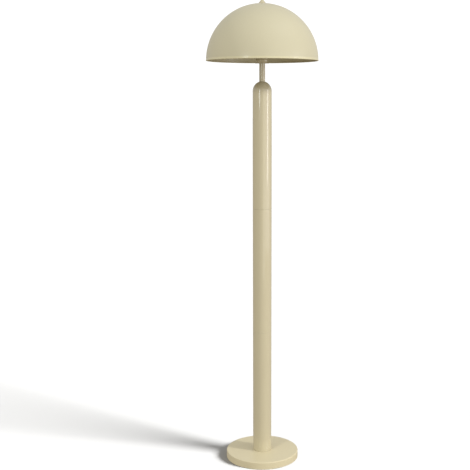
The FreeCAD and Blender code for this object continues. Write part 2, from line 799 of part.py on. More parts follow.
def make_harp_saddle():
    """Bent strip under the lampholder: two arms, each ending in a narrow tongue with an eye."""
    bend_z = cap_z + saddle_bend
    inner_bend_x = arm_inner_x - saddle_bend
    outer_bend = saddle_bend + saddle_thickness
    strip = outline(
        (-arm_inner_x, tongue_top_z),
        (-arm_inner_x, bend_z),
        (on_circle(-inner_bend_x, bend_z, saddle_bend, 225.0), (-inner_bend_x, cap_z)),
        (inner_bend_x, cap_z),
        (on_circle(inner_bend_x, bend_z, saddle_bend, 315.0), (arm_inner_x, bend_z)),
        (arm_inner_x, tongue_top_z),
        (arm_outer_x, tongue_top_z),
        (arm_outer_x, bend_z),
        (on_circle(inner_bend_x, bend_z, outer_bend, 315.0), (inner_bend_x, saddle_z)),
        (-inner_bend_x, saddle_z),
        (on_circle(-inner_bend_x, bend_z, outer_bend, 225.0), (-arm_outer_x, bend_z)),
        (-arm_outer_x, tongue_top_z))
    strip.translate(ALONG_Y * (-saddle_width / 2))
    saddle = strip.extrude(ALONG_Y * saddle_width)
    shoulder_cut = (saddle_width - saddle_tongue_width) / 2
    cuts = [rod(pipe_hole, saddle_z - MARGIN, cap_z + MARGIN),
            bar_along(ALONG_X, harp_wire_radius + slip_fit,
                      Vector(-arm_outer_x - MARGIN, 0, eye_z), 2 * (arm_outer_x + MARGIN))]
    for low_y in (-saddle_width / 2 - MARGIN, saddle_tongue_width / 2):
        cuts.append(Part.makeBox(2 * (arm_outer_x + MARGIN), shoulder_cut + MARGIN,
                                 saddle_tongue_height + MARGIN,
                                 Vector(-arm_outer_x - MARGIN, low_y, shoulder_z)))
    return saddle.cut(cuts)


def make_harp_wire():
    """Wire from one eye of the saddle, up, out and over the bulb, and down to the other eye."""
    half = [(arm_inner_x, eye_z),
            (leg_x, eye_z),
            (leg_x, eye_z + harp_leg_length),
            (harp_width / 2, eye_z + harp_leg_length + harp_flare_height),
            (harp_width / 2, harp_crown_z)]
    bends = [harp_hook_bend, harp_flare_bend, harp_side_bend, harp_crown_bend]
    points = [Vector(-x, 0, z) for x, z in half] + [Vector(x, 0, z) for x, z in reversed(half)]
    path = bent_path(points, bends + bends[::-1])
    return round_wire(path, harp_wire_radius, -ALONG_X)


def make_harp_head():
    """Boss on the wire's crown with the stud that the shade and the finial go on."""
    low = harp_crown_z - harp_head_skirt
    radius = harp_head_diameter / 2
    head = turned(outline(
        (0, low),
        (radius - harp_head_break, low),
        (radius, low + harp_head_break),
        (radius, seat_z),
        (stud_radius, seat_z),
        (stud_radius, stud_top_z - stud_tip_break),
        (stud_radius - stud_tip_break, stud_top_z),
        (0, stud_top_z)))
    return head.cut(make_harp_wire())


def make_ferrule(side):
    """Sleeve round a leg of the wire and a tongue of the saddle; it slides up to free the leg."""
    bore = rod(ferrule_bore, shoulder_z - MARGIN, shoulder_z + ferrule_length + MARGIN, x=side * ferrule_x)
    outer = rod(ferrule_bore + ferrule_wall, shoulder_z, shoulder_z + ferrule_length, x=side * ferrule_x)
    return outer.cut(bore)


# ---------------------------------------------------------------- shade and finial


def make_shade_cushion():
    """Soft washer between the harp's head and the shade."""
    return tube(cushion_diameter / 2, stud_hole, seat_z, seat_z + cushion_thickness)


def make_shade():
    """Half-sphere of sheet metal with a small flat on top and a bead rolled inwards round its rim."""
    inner_radius = shade_radius - shade_sheet
    inner_flat_z = shade_flat_z - shade_sheet
    hole = stud_radius + shade_hole_play
    bead_z = shade_centre_z + shade_bead_radius
    outer_low = arc_angle(shade_radius, shade_bead_radius)
    outer_high = arc_angle(shade_radius, shade_flat_z - shade_centre_z)
    inner_low = arc_angle(inner_radius, shade_bead_radius)
    inner_high = arc_angle(inner_radius, inner_flat_z - shade_centre_z)
    sheet = turned(outline(
        on_circle(0, shade_centre_z, shade_radius, outer_low),
        (on_circle(0, shade_centre_z, shade_radius, (outer_low + outer_high) / 2),
         on_circle(0, shade_centre_z, shade_radius, outer_high)),
        (hole, shade_flat_z),
        (hole, inner_flat_z),
        on_circle(0, shade_centre_z, inner_radius, inner_high),
        (on_circle(0, shade_centre_z, inner_radius, (inner_low + inner_high) / 2),
         on_circle(0, shade_centre_z, inner_radius, inner_low))))
    bead = Part.makeTorus(shade_radius + shade_bead_proud - shade_bead_radius, shade_bead_radius,
                          Vector(0, 0, bead_z))
    return sheet.fuse(bead)


def make_finial_washer():
    """Washer under the finial, which rises with it."""
    return tube(finial_washer_diameter / 2, stud_hole, shade_flat_z, finial_z)


def make_finial():
    """Flared finial with a rounded tip, screwed on the stud."""
    bore = stud_radius + turning_fit
    bore_top = stud_top_z + finial_bore_end_play
    base = finial_base_diameter / 2
    tip = finial_tip_diameter / 2
    tip_centre_z = finial_z + finial_height - tip
    flare_foot_z = finial_z + finial_base_edge
    flare_top_z = finial_z + finial_flare_height
    flare_middle = ((base + tip) / 2 - finial_flare_hollow, (flare_foot_z + flare_top_z) / 2)
    return turned(outline(
        (bore, finial_z),
        (base, finial_z),
        (base, flare_foot_z),
        (flare_middle, (tip, flare_top_z)),
        (tip, tip_centre_z),
        (on_circle(0, tip_centre_z, tip, 45.0), (0, finial_z + finial_height)),
        (0, bore_top),
        (bore, bore_top)))


# ---------------------------------------------------------------- all the pieces


def make_pieces():
    """Every separate piece of the lamp, by its name."""
    return {
        "base_pad": make_base_pad(),
        "base_weight": make_base_weight(),
        "base_cover": make_base_cover(),
        "foot_screws": make_foot_screws(),
        "foot_lock_washers": make_foot_lock_washers(),
        "cord_bushing": make_cord_bushing(),
        "foot_plug": make_foot_plug(),
        "lower_tube": make_column_tube(base_height, lower_seam_z),
        "lower_joint_plug": make_joint_plug(lower_seam_z - plug_thickness),
        "lower_joint_nipple": make_joint_nipple(lower_seam_z),
        "middle_foot_plug": make_joint_plug(lower_seam_z),
        "middle_tube": make_column_tube(lower_seam_z, upper_seam_z),
        "middle_joint_plug": make_joint_plug(upper_seam_z - plug_thickness),
        "upper_joint_nipple": make_joint_nipple(upper_seam_z),
        "upper_foot_plug": make_joint_plug(upper_seam_z),
        "upper_tube": make_upper_tube(),
        "joint_nuts": make_joint_nuts(),
        "neck_tube": make_neck_tube(),
        "check_ring": make_check_ring(),
        "lamp_pipe": make_lamp_pipe(),
        "neck_washer": make_neck_washer(),
        "neck_nut": make_neck_nut(),
        "harp_saddle": make_harp_saddle(),
        "harp_wire": make_harp_wire(),
        "harp_head": make_harp_head(),
        "left_ferrule": make_ferrule(-1),
        "right_ferrule": make_ferrule(1),
        "socket_cap": make_socket_cap(),
        "socket_body": make_socket_body(),
        "socket_liner": make_socket_liner(),
        "socket_shell": make_socket_shell(),
        "screw_shell": make_screw_shell(),
        "centre_contact": make_centre_contact(),
        "terminal_screws": make_terminal_screws(),
        "switch_spindle": make_switch_spindle(),
        "switch_knob": make_switch_knob(),
        "internal_lead": make_internal_lead(),
        "bulb_contact": make_bulb_contact(),
        "bulb_insulator": make_bulb_insulator(),
        "bulb_cap": make_bulb_cap(),
        "bulb_housing": make_bulb_housing(),
        "bulb_board": make_bulb_board(),
        "bulb_globe": make_bulb_globe(),
        "shade_cushion": make_shade_cushion(),
        "shade": make_shade(),
        "finial_washer": make_finial_washer(),
        "finial": make_finial(),
    }


os.makedirs("parts", exist_ok=True)
for name, piece in make_pieces().items():
    piece.exportStep("parts/" + name + ".step")
    print(f"{name}: {len(piece.Solids)} solids, {piece.Volume:.1f} mm3, valid {piece.isValid()}")
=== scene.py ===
import logging
import math
from dataclasses import dataclass, field
from enum import Enum

import bpy
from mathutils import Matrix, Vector


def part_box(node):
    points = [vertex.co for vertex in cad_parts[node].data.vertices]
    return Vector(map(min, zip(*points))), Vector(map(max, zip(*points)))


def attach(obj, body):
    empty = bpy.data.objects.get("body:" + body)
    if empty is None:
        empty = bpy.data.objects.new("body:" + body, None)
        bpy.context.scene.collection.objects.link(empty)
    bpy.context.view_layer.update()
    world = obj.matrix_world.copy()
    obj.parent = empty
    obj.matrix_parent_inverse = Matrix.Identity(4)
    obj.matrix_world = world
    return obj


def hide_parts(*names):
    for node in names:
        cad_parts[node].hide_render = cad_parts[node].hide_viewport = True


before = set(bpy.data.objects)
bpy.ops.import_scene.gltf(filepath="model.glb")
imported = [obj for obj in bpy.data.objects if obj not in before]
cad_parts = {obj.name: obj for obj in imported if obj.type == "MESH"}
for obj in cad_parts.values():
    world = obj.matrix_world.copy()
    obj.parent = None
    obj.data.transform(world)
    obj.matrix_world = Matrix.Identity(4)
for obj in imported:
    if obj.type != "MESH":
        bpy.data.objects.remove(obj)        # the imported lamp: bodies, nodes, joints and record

LOG = logging.getLogger("floor_lamp")

Colour = tuple[float, float, float]
Place = tuple[float, float, float]
HalfSection = list[tuple[float, float]]
ORIGIN: Place = (0.0, 0.0, 0.0)
MERGE = 1e-6                   # points closer than this are one, in metres
SMOOTH = math.radians(32)      # flatter edges than this are shaded smooth
PAST = 0.001                   # how far a cutting shape reaches past what it cuts
OUTSIDE = 0.03                 # clear of lampholder and saddle, measured from the axis
LAMP_PITCH = 0.00363           # thread of a standard bulb
PIPE_HOLE = 0.00515            # radius of the holes that the threaded pipe passes through
STUD_HOLE = 0.003475           # radius of the washers' holes round the stud
BETWEEN = (0.25, 0.5, 0.75)    # rings along a straight stretch, as shares of it
NOISE_SPAN = (0.3, 0.7)        # most of a noise pattern lies between these


# ---------------------------------------------------------------- finishes


class Grain(Enum):
    """Kind of small relief on a surface."""

    PEEL = "orange peel of sprayed paint"
    SAND = "sand-cast skin"
    CELLS = "closed foam cells"
    DRAWN = "fine lines along the height"
    PLAIN = "nearly smooth moulding"


@dataclass(frozen=True)
class Finish:
    """Procedural finish: two tones that drift into each other, uneven gloss, and a relief.

    Scales are in waves per metre, and heights in metres.
    """

    name: str
    slot: str
    light: Colour
    dark: Colour
    drift_scale: float = 6.0
    roughness: tuple[float, float] = (0.3, 0.4)
    gloss_scale: float = 40.0
    grain: Grain = Grain.PLAIN
    grain_scale: float = 600.0
    grain_height: float = 0.00002
    metallic: float = 0.0
    coat: float = 0.0
    coat_roughness: float = 0.1
    specular: float = 0.5
    speckle: float = 0.0
    subsurface: float = 0.0

    def material(self) -> bpy.types.Material:
        """Build the finish once, or find it again.

        Returns:
            The material with its nodes in place.
        """
        found = bpy.data.materials.get(self.name)
        if found is not None:
            return found
        made = bpy.data.materials.new(self.name)
        made.use_nodes = True
        tree = made.node_tree
        shader = tree.nodes["Principled BSDF"]
        shader.inputs["Metallic"].default_value = self.metallic
        shader.inputs["Coat Weight"].default_value = self.coat
        shader.inputs["Coat Roughness"].default_value = self.coat_roughness
        shader.inputs["Specular IOR Level"].default_value = self.specular
        shader.inputs["Subsurface Weight"].default_value = self.subsurface
        shader.inputs["Subsurface Radius"].default_value = (0.004, 0.004, 0.004)
        place = tree.nodes.new("ShaderNodeTexCoord").outputs["Object"]
        tree.links.new(self.tones(tree, place), shader.inputs["Base Color"])
        tree.links.new(self.gloss(tree, place), shader.inputs["Roughness"])
        tree.links.new(self.relief(tree, place), shader.inputs["Normal"])
        made.diffuse_color = (*self.light, 1.0)
        return made

    def tones(self, tree: bpy.types.NodeTree, place: bpy.types.NodeSocket) -> bpy.types.NodeSocket:
        """Drift between the two tones, with fine speckle where the finish has it.

        Args:
            tree: Node tree of the material.
            place: Object coordinates.

        Returns:
            Colour socket.
        """
        cloud = self.noise(tree, place, self.drift_scale, 4.0)
        ramp = tree.nodes.new("ShaderNodeValToRGB")
        for stop, position, tone in zip(ramp.color_ramp.elements, NOISE_SPAN, (self.dark, self.light)):
            stop.position = position
            stop.color = (*tone, 1.0)
        tree.links.new(cloud, ramp.inputs["Fac"])
        if self.speckle == 0.0:
            return ramp.outputs["Color"]
        dots = self.noise(tree, place, self.grain_scale * 1.7, 2.0)
        shade = tree.nodes.new("ShaderNodeMapRange")
        shade.inputs["To Min"].default_value = 1.0 - self.speckle
        shade.inputs["To Max"].default_value = 1.0 + self.speckle
        tree.links.new(dots, shade.inputs["Value"])
        mixed = tree.nodes.new("ShaderNodeVectorMath")
        mixed.operation = "SCALE"
        tree.links.new(ramp.outputs["Color"], mixed.inputs["Vector"])
        tree.links.new(shade.outputs["Result"], mixed.inputs["Scale"])
        return mixed.outputs["Vector"]

    def gloss(self, tree: bpy.types.NodeTree, place: bpy.types.NodeSocket) -> bpy.types.NodeSocket:
        """Uneven roughness, as handling and spraying leave it.

        Args:
            tree: Node tree of the material.
            place: Object coordinates.

        Returns:
            Roughness socket.
        """
        patches = self.noise(tree, place, self.gloss_scale, 5.0)
        spread = tree.nodes.new("ShaderNodeMapRange")
        spread.inputs["From Min"].default_value, spread.inputs["From Max"].default_value = NOISE_SPAN
        spread.inputs["To Min"].default_value, spread.inputs["To Max"].default_value = self.roughness
        tree.links.new(patches, spread.inputs["Value"])
        return spread.outputs["Result"]

    def relief(self, tree: bpy.types.NodeTree, place: bpy.types.NodeSocket) -> bpy.types.NodeSocket:
        """Small relief of the finish's own grain.

        Args:
            tree: Node tree of the material.
            place: Object coordinates.

        Returns:
            Normal socket.
        """
        if self.grain is Grain.CELLS:
            cells = tree.nodes.new("ShaderNodeTexVoronoi")
            cells.inputs["Scale"].default_value = self.grain_scale
            tree.links.new(place, cells.inputs["Vector"])
            height = cells.outputs["Distance"]
        else:
            if self.grain is Grain.DRAWN:
                squeeze = tree.nodes.new("ShaderNodeMapping")
                squeeze.inputs["Scale"].default_value = (1.0, 1.0, 0.02)
                tree.links.new(place, squeeze.inputs["Vector"])
                place = squeeze.outputs["Vector"]
            detail = {Grain.PEEL: 1.0, Grain.SAND: 8.0, Grain.DRAWN: 3.0, Grain.PLAIN: 2.0}[self.grain]
            height = self.noise(tree, place, self.grain_scale, detail)
        bump = tree.nodes.new("ShaderNodeBump")
        bump.inputs["Strength"].default_value = 1.0
        bump.inputs["Distance"].default_value = self.grain_height
        tree.links.new(height, bump.inputs["Height"])
        return bump.outputs["Normal"]

    def noise(self, tree: bpy.types.NodeTree, place: bpy.types.NodeSocket, scale: float,
              detail: float) -> bpy.types.NodeSocket:
        """One noise pattern.

        Args:
            tree: Node tree of the material.
            place: Coordinates that it follows.
            scale: Waves per metre.
            detail: Finer octaves.

        Returns:
            Value socket, about 0 to 1.
        """
        pattern = tree.nodes.new("ShaderNodeTexNoise")
        pattern.inputs["Scale"].default_value = scale
        pattern.inputs["Detail"].default_value = detail
        tree.links.new(place, pattern.inputs["Vector"])
        return pattern.outputs["Fac"]


CREAM_GLOSS = Finish("cream_gloss_paint", "cream_paint", (0.578, 0.52, 0.355), (0.565, 0.505, 0.343),
                     drift_scale=5.0, roughness=(0.11, 0.16), gloss_scale=30.0, grain=Grain.PEEL,
                     grain_scale=420.0, grain_height=0.0000025, coat=0.6, coat_roughness=0.05,
                     speckle=0.012)
CREAM_SATIN = Finish("cream_satin_paint", "cream_paint", (0.585, 0.543, 0.382), (0.571, 0.528, 0.369),
                     drift_scale=5.0, roughness=(0.3, 0.38), gloss_scale=30.0, grain=Grain.PEEL,
                     grain_scale=420.0, grain_height=0.000007, speckle=0.012)
# lighter copy of the cream paint for the base cover alone: painted light, as if its top caught more light
# than the rest
CREAM_BASE_PAINTED_LIGHT = Finish("cream_base_painted_light", "cream_paint", (0.665, 0.593, 0.395), (0.65, 0.576, 0.38),
                    drift_scale=8.0, roughness=(0.32, 0.4), gloss_scale=30.0, grain=Grain.PEEL,
                    grain_scale=420.0, grain_height=0.000007, speckle=0.015)
# lighter tone for the outside of the shade's rim: a painted highlight along the rolled rim
RIM_PAINTED_HIGHLIGHT = Finish("cream_rim_painted_highlight", "cream_paint", (0.67, 0.62, 0.41), (0.65, 0.6, 0.395),
                   drift_scale=12.0, roughness=(0.26, 0.32), gloss_scale=30.0, grain=Grain.PEEL,
                   grain_scale=420.0, grain_height=0.000005, coat=0.3, speckle=0.012)
PAD_FOAM = Finish("black_pad_foam", "pad_foam", (0.035, 0.035, 0.036), (0.022, 0.022, 0.023),
                  drift_scale=60.0, roughness=(0.8, 0.95), grain=Grain.CELLS, grain_scale=900.0,
                  grain_height=0.0002, specular=0.3)
CAST_IRON = Finish("sand_cast_iron", "cast_iron", (0.12, 0.115, 0.11), (0.07, 0.065, 0.06),
                   drift_scale=40.0, roughness=(0.55, 0.8), grain=Grain.SAND, grain_scale=500.0,
                   grain_height=0.0002, metallic=0.7)
ZINC_STEEL = Finish("bright_zinc_steel", "zinc_steel", (0.62, 0.63, 0.64), (0.5, 0.51, 0.53),
                    drift_scale=90.0, roughness=(0.28, 0.42), gloss_scale=150.0, grain=Grain.DRAWN,
                    grain_scale=2500.0, grain_height=0.000004, metallic=1.0)
NICKEL_WIRE = Finish("nickel_on_wire", "nickel_wire", (0.68, 0.66, 0.62), (0.58, 0.55, 0.5),
                     drift_scale=50.0, roughness=(0.18, 0.32), gloss_scale=120.0, grain=Grain.DRAWN,
                     grain_scale=3000.0, grain_height=0.000003, metallic=1.0)
BRASS = Finish("plain_brass", "brass", (0.78, 0.58, 0.27), (0.6, 0.42, 0.17), drift_scale=70.0,
               roughness=(0.22, 0.4), gloss_scale=200.0, grain=Grain.DRAWN, grain_scale=2500.0,
               grain_height=0.000003, metallic=1.0)
NYLON = Finish("cream_nylon", "nylon", (0.66, 0.6, 0.46), (0.62, 0.56, 0.42), drift_scale=80.0,
               roughness=(0.42, 0.52), grain=Grain.PLAIN, grain_scale=1800.0, grain_height=0.000008)
PHENOLIC = Finish("black_phenolic", "phenolic", (0.03, 0.026, 0.024), (0.018, 0.016, 0.015),
                  drift_scale=45.0, roughness=(0.25, 0.4), grain=Grain.PLAIN, grain_scale=900.0,
                  grain_height=0.000006)
FIBRE = Finish("pressed_fibre", "fibre", (0.34, 0.25, 0.15), (0.25, 0.18, 0.1), drift_scale=200.0,
               roughness=(0.7, 0.85), grain=Grain.SAND, grain_scale=1200.0, grain_height=0.00003)
LEAD_SHEATH = Finish("cream_lead_sheath", "lead_sheath", (0.62, 0.56, 0.42), (0.57, 0.51, 0.38),
                     drift_scale=30.0, roughness=(0.4, 0.5), grain=Grain.DRAWN, grain_scale=900.0,
                     grain_height=0.00001)
SOFT_WASHER = Finish("soft_pale_washer", "soft_washer", (0.78, 0.76, 0.7), (0.72, 0.7, 0.64),
                     drift_scale=150.0, roughness=(0.5, 0.62), grain=Grain.PLAIN,
                     grain_scale=1500.0, grain_height=0.00001)
BULB_WHITE = Finish("moulded_bulb_white", "bulb_white", (0.86, 0.86, 0.84), (0.83, 0.83, 0.81),
                    drift_scale=60.0, roughness=(0.32, 0.4), grain=Grain.PLAIN, grain_scale=1500.0,
                    grain_height=0.000006)
BULB_FROST = Finish("frosted_bulb", "bulb_frost", (0.9, 0.9, 0.88), (0.87, 0.87, 0.85),
                    drift_scale=40.0, roughness=(0.38, 0.46), grain=Grain.PEEL, grain_scale=2200.0,
                    grain_height=0.000006, subsurface=0.3)
BULB_METAL = Finish("pressed_bulb_cap", "bulb_metal", (0.74, 0.73, 0.7), (0.62, 0.6, 0.57),
                    drift_scale=120.0, roughness=(0.22, 0.38), gloss_scale=200.0, grain=Grain.PLAIN,
                    grain_scale=1800.0, grain_height=0.000006, metallic=1.0)
BULB_GLASS = Finish("black_cap_glass", "bulb_glass", (0.02, 0.019, 0.02), (0.012, 0.012, 0.012),
                    drift_scale=120.0, roughness=(0.08, 0.16), grain=Grain.PEEL, grain_scale=900.0,
                    grain_height=0.000008)
LIGHT_BOARD = Finish("white_light_board", "light_board", (0.84, 0.84, 0.82), (0.8, 0.8, 0.77),
                     drift_scale=150.0, roughness=(0.35, 0.5), grain=Grain.CELLS, grain_scale=160.0,
                     grain_height=0.0002)
PALE_FLOOR = Finish("studio_floor", "", (0.42, 0.42, 0.42), (0.416, 0.416, 0.416), drift_scale=1.0,
                    roughness=(0.8, 0.9), gloss_scale=2.0, grain_scale=20.0, specular=0.0)


# ---------------------------------------------------------------- the bench


class Turning(Enum):
    """Axis that a piece is turned about."""

    UPRIGHT = (0.0, 0.0, 1.0)
    TO_THE_BACK = (0.0, 1.0, 0.0)


@dataclass
class Section:
    """Half-section of a turned piece: (radius, height) points in metres, in order."""

    points: HalfSection = field(default_factory=list)

    def to(self, *points: tuple[float, float]) -> "Section":
        """Go straight to each point, and return the section."""
        self.points.extend(points)
        return self

    def bend(self, centre: tuple[float, float], radius: float, start: float, end: float,
             steps: int = 6) -> "Section":
        """Follow an arc.

        Args:
            centre: Radius and height of the arc's middle.
            radius: Radius of the arc.
            start: First angle in degrees, up from the outward direction.
            end: Last angle.
            steps: Straight steps along it.

        Returns:
            The section.
        """
        for k in range(steps + 1):
            angle = math.radians(start + (end - start) * k / steps)
            self.points.append((centre[0] + radius * math.cos(angle),
                                centre[1] + radius * math.sin(angle)))
        return self

    def sweep(self, middle: tuple[float, float], end: tuple[float, float],
              steps: int = 10) -> "Section":
        """Follow a smooth curve from the last point, through a middle point, to an end.

        Args:
            middle: Point halfway along.
            end: Last point.
            steps: Straight steps along it.

        Returns:
            The section.
        """
        start = self.points[-1]
        pull = tuple(2 * m - (a + b) / 2 for a, m, b in zip(start, middle, end))
        for k in range(1, steps + 1):
            t = k / steps
            self.points.append(tuple((1 - t) ** 2 * a + 2 * t * (1 - t) * p + t ** 2 * b
                                     for a, p, b in zip(start, pull, end)))
        return self

    @classmethod
    def ring(cls, bore: float, outer: float, low: float, high: float, inset: float,
             drop: float) -> "Section":
        """Flat ring with its outer edges broken.

        Args:
            bore: Radius of its hole.
            outer: Outer radius.
            low: Height of its underside.
            high: Height of its top.
            inset: How far the broken edges reach inwards.
            drop: How far they reach along the height.

        Returns:
            The ring's half-section.
        """
        return cls().to((bore, low), (outer - inset, low), (outer, low + drop),
                        (outer, high - drop), (outer - inset, high), (bore, high))


class Bench:
    """Where the pieces are shaped, with the operators that a modeller uses by hand."""

    @staticmethod
    def pick(*objects: bpy.types.Object) -> None:
        """Select these objects and nothing else.

        Args:
            objects: What to select; the first one is made active.
        """
        bpy.ops.object.select_all(action="DESELECT")
        for obj in objects:
            obj.select_set(True)
        bpy.context.view_layer.objects.active = objects[0]

    @staticmethod
    def settle(obj: bpy.types.Object) -> None:
        """Put the object's place into its mesh, so that it sits at the origin, unturned."""
        Bench.pick(obj)
        bpy.ops.object.transform_apply(location=True, rotation=True, scale=True)

    @staticmethod
    def first_point(place: Vector) -> bpy.types.Object:
        """One point in edit mode, ready to be extruded.

        Args:
            place: Where it is.

        Returns:
            The object that holds it.
        """
        bpy.ops.object.select_all(action="DESELECT")
        bpy.ops.mesh.primitive_plane_add(size=0.001, location=place)
        obj = bpy.context.object
        Bench.settle(obj)
        bpy.ops.object.mode_set(mode="EDIT")
        bpy.ops.mesh.select_all(action="SELECT")
        bpy.ops.mesh.merge(type="CENTER")
        return obj

    @staticmethod
    def draw(places: list[Vector]) -> bpy.types.Object:
        """Chain of edges in edit mode, one extrusion after another.

        Args:
            places: The points, in order.

        Returns:
            The object that holds it, still in edit mode.
        """
        obj = Bench.first_point(places[0])
        for here, there in zip(places, places[1:]):
            bpy.ops.mesh.extrude_vertices_move(TRANSFORM_OT_translate={"value": there - here})
        bpy.ops.mesh.select_all(action="SELECT")
        bpy.ops.mesh.remove_doubles(threshold=MERGE)
        bpy.ops.mesh.select_all(action="SELECT")
        return obj

    @staticmethod
    def turn(section: Section, steps: int = 96, about: Turning = Turning.UPRIGHT,
             centre: Place = ORIGIN, closed: bool = True) -> bpy.types.Object:
        """Turn a half-section about an axis, as on a lathe.

        Args:
            section: The half-section; its heights count along the axis from the world's origin.
            steps: Sides of the round.
            about: Direction of the axis.
            centre: Point that the axis passes through.
            closed: Whether the last point joins the first.

        Returns:
            The turned piece, in object mode.
        """
        points = section.points + section.points[:1] if closed else section.points
        x, y, z = centre
        if about is Turning.UPRIGHT:
            places = [Vector((x + r, y, h)) for r, h in points]
        else:
            places = [Vector((x + r, h, z)) for r, h in points]
        obj = Bench.draw(places)
        bpy.ops.mesh.spin(steps=steps, angle=2 * math.pi, center=centre, axis=about.value)
        bpy.ops.mesh.select_all(action="SELECT")
        bpy.ops.mesh.remove_doubles(threshold=MERGE)
        bpy.ops.mesh.normals_make_consistent(inside=False)
        bpy.ops.object.mode_set(mode="OBJECT")
        return obj

    @staticmethod
    def bar(radius: float, start: Place, end: Place, sides: int = 48) -> bpy.types.Object:
        """Round bar between two points, mostly to cut with.

        Args:
            radius: Its radius.
            start: Middle of one end.
            end: Middle of the other end.
            sides: Sides of the round.

        Returns:
            The bar.
        """
        run = Vector(end) - Vector(start)
        bpy.ops.object.select_all(action="DESELECT")
        bpy.ops.mesh.primitive_cylinder_add(
            vertices=sides, radius=radius, depth=run.length, location=(Vector(start) + Vector(end)) / 2,
            rotation=run.to_track_quat("Z", "Y").to_euler())
        obj = bpy.context.object
        Bench.settle(obj)
        return obj

    @staticmethod
    def block(low: Place, high: Place) -> bpy.types.Object:
        """Straight block to cut with.

        Args:
            low: Its low corner.
            high: Its high corner.

        Returns:
            The block.
        """
        size = Vector(high) - Vector(low)
        bpy.ops.object.select_all(action="DESELECT")
        bpy.ops.mesh.primitive_cube_add(size=1.0, location=(Vector(low) + Vector(high)) / 2, scale=size)
        Bench.settle(bpy.context.object)
        return bpy.context.object

    @staticmethod
    def modify(obj: bpy.types.Object, kind: str, **settings: object) -> None:
        """Add a modifier with its settings and apply it.

        Args:
            obj: The piece.
            kind: Blender's name of the modifier's type.
            settings: Its settings, by Blender's names.
        """
        modifier = obj.modifiers.new(kind.lower(), kind)
        for name, value in settings.items():
            setattr(modifier, name, value)
        Bench.pick(obj)
        bpy.ops.object.modifier_apply(modifier=modifier.name)

    @staticmethod
    def cut(obj: bpy.types.Object, *cutters: bpy.types.Object) -> None:
        """Cut shapes out of a piece, and throw the shapes away.

        Args:
            obj: The piece.
            cutters: The shapes, cut out in this order.
        """
        for cutter in cutters:
            Bench.modify(obj, "BOOLEAN", operation="DIFFERENCE", solver="EXACT", object=cutter)
            bpy.data.objects.remove(cutter)

    @staticmethod
    def round_edges(obj: bpy.types.Object, width: float, segments: int = 2, over: float = 40.0) -> None:
        """Round off the piece's sharp edges.

        Args:
            obj: The piece.
            width: How far each rounding reaches from the edge.
            segments: Faces across it.
            over: Only edges sharper than this many degrees.
        """
        Bench.modify(obj, "BEVEL", width=width, segments=segments, limit_method="ANGLE",
                     angle_limit=math.radians(over), use_clamp_overlap=True)

    @staticmethod
    def around(obj: bpy.types.Object, count: int, centre: Place = ORIGIN,
               axis: str = "Z") -> bpy.types.Object:
        """Copy a piece evenly round an axis and join the copies into one piece.

        Args:
            obj: The first one.
            count: How many there are in all.
            centre: Point on the axis.
            axis: Letter of the axis.

        Returns:
            The joined piece.
        """
        copies = [obj]
        for k in range(1, count):
            Bench.pick(obj)
            bpy.ops.object.duplicate()
            copy = bpy.context.object
            bpy.ops.object.mode_set(mode="EDIT")
            bpy.ops.mesh.select_all(action="SELECT")
            bpy.ops.transform.rotate(value=2 * math.pi * k / count, orient_axis=axis,
                                     center_override=centre)
            bpy.ops.object.mode_set(mode="OBJECT")
            copies.append(copy)
        return Bench.join(*copies)

    @staticmethod
    def join(*objects: bpy.types.Object) -> bpy.types.Object:
        """Join pieces into one.

        Args:
            objects: The pieces; the first one takes in the others.

        Returns:
            The joined piece.
        """
        Bench.pick(*objects)
        if len(objects) > 1:
            bpy.ops.object.join()
        return bpy.context.object

    @staticmethod
    def thread(root: float, bead: float, low: float, pitch: float, turns: int,
               steps: int = 48) -> bpy.types.Object:
        """Helical ridge round the lamp's axis, with closed ends.

        Args:
            root: Radius that the bead's middle follows.
            bead: Radius of the bead.
            low: Height of its first end's middle.
            pitch: Rise of one turn.
            turns: Number of turns.
            steps: Steps of one turn.

        Returns:
            The ridge.
        """
        ring = Section().bend((root, low), bead, 0.0, 360.0, 10).points
        obj = Bench.draw([Vector((r, 0.0, h)) for r, h in ring])
        bpy.ops.object.mode_set(mode="OBJECT")
        Bench.modify(obj, "SCREW", axis="Z", angle=2 * math.pi, screw_offset=pitch, iterations=turns,
                     steps=steps, render_steps=steps, use_merge_vertices=True, merge_threshold=MERGE)
        Bench.pick(obj)
        bpy.ops.object.mode_set(mode="EDIT")
        bpy.ops.mesh.select_mode(type="VERT")
        bpy.ops.mesh.select_all(action="DESELECT")
        bpy.ops.mesh.select_non_manifold()
        bpy.ops.mesh.edge_face_add()
        bpy.ops.mesh.select_all(action="SELECT")
        bpy.ops.mesh.normals_make_consistent(inside=False)
        bpy.ops.object.mode_set(mode="OBJECT")
        return obj

    @staticmethod
    def wire(places: list[Vector], radius: float, sides: int = 5) -> bpy.types.Object:
        """Round wire along a line of points, with closed ends.

        Args:
            places: The line's points.
            radius: Radius of the wire.
            sides: Resolution of its round section.

        Returns:
            The wire as a mesh.
        """
        line = bpy.data.curves.new("wire_line", "CURVE")
        line.dimensions = "3D"
        line.bevel_depth = radius
        line.bevel_resolution = sides
        line.use_fill_caps = True
        run = line.splines.new("POLY")
        run.points.add(len(places) - 1)
        for point, place in zip(run.points, places):
            point.co = (*place, 1.0)
        obj = bpy.data.objects.new("wire_line", line)
        bpy.context.scene.collection.objects.link(obj)
        Bench.pick(obj)
        bpy.ops.object.convert(target="MESH")
        bpy.ops.object.mode_set(mode="EDIT")
        bpy.ops.mesh.select_all(action="SELECT")
        bpy.ops.mesh.remove_doubles(threshold=MERGE)
        bpy.ops.mesh.normals_make_consistent(inside=False)
        bpy.ops.object.mode_set(mode="OBJECT")
        return obj


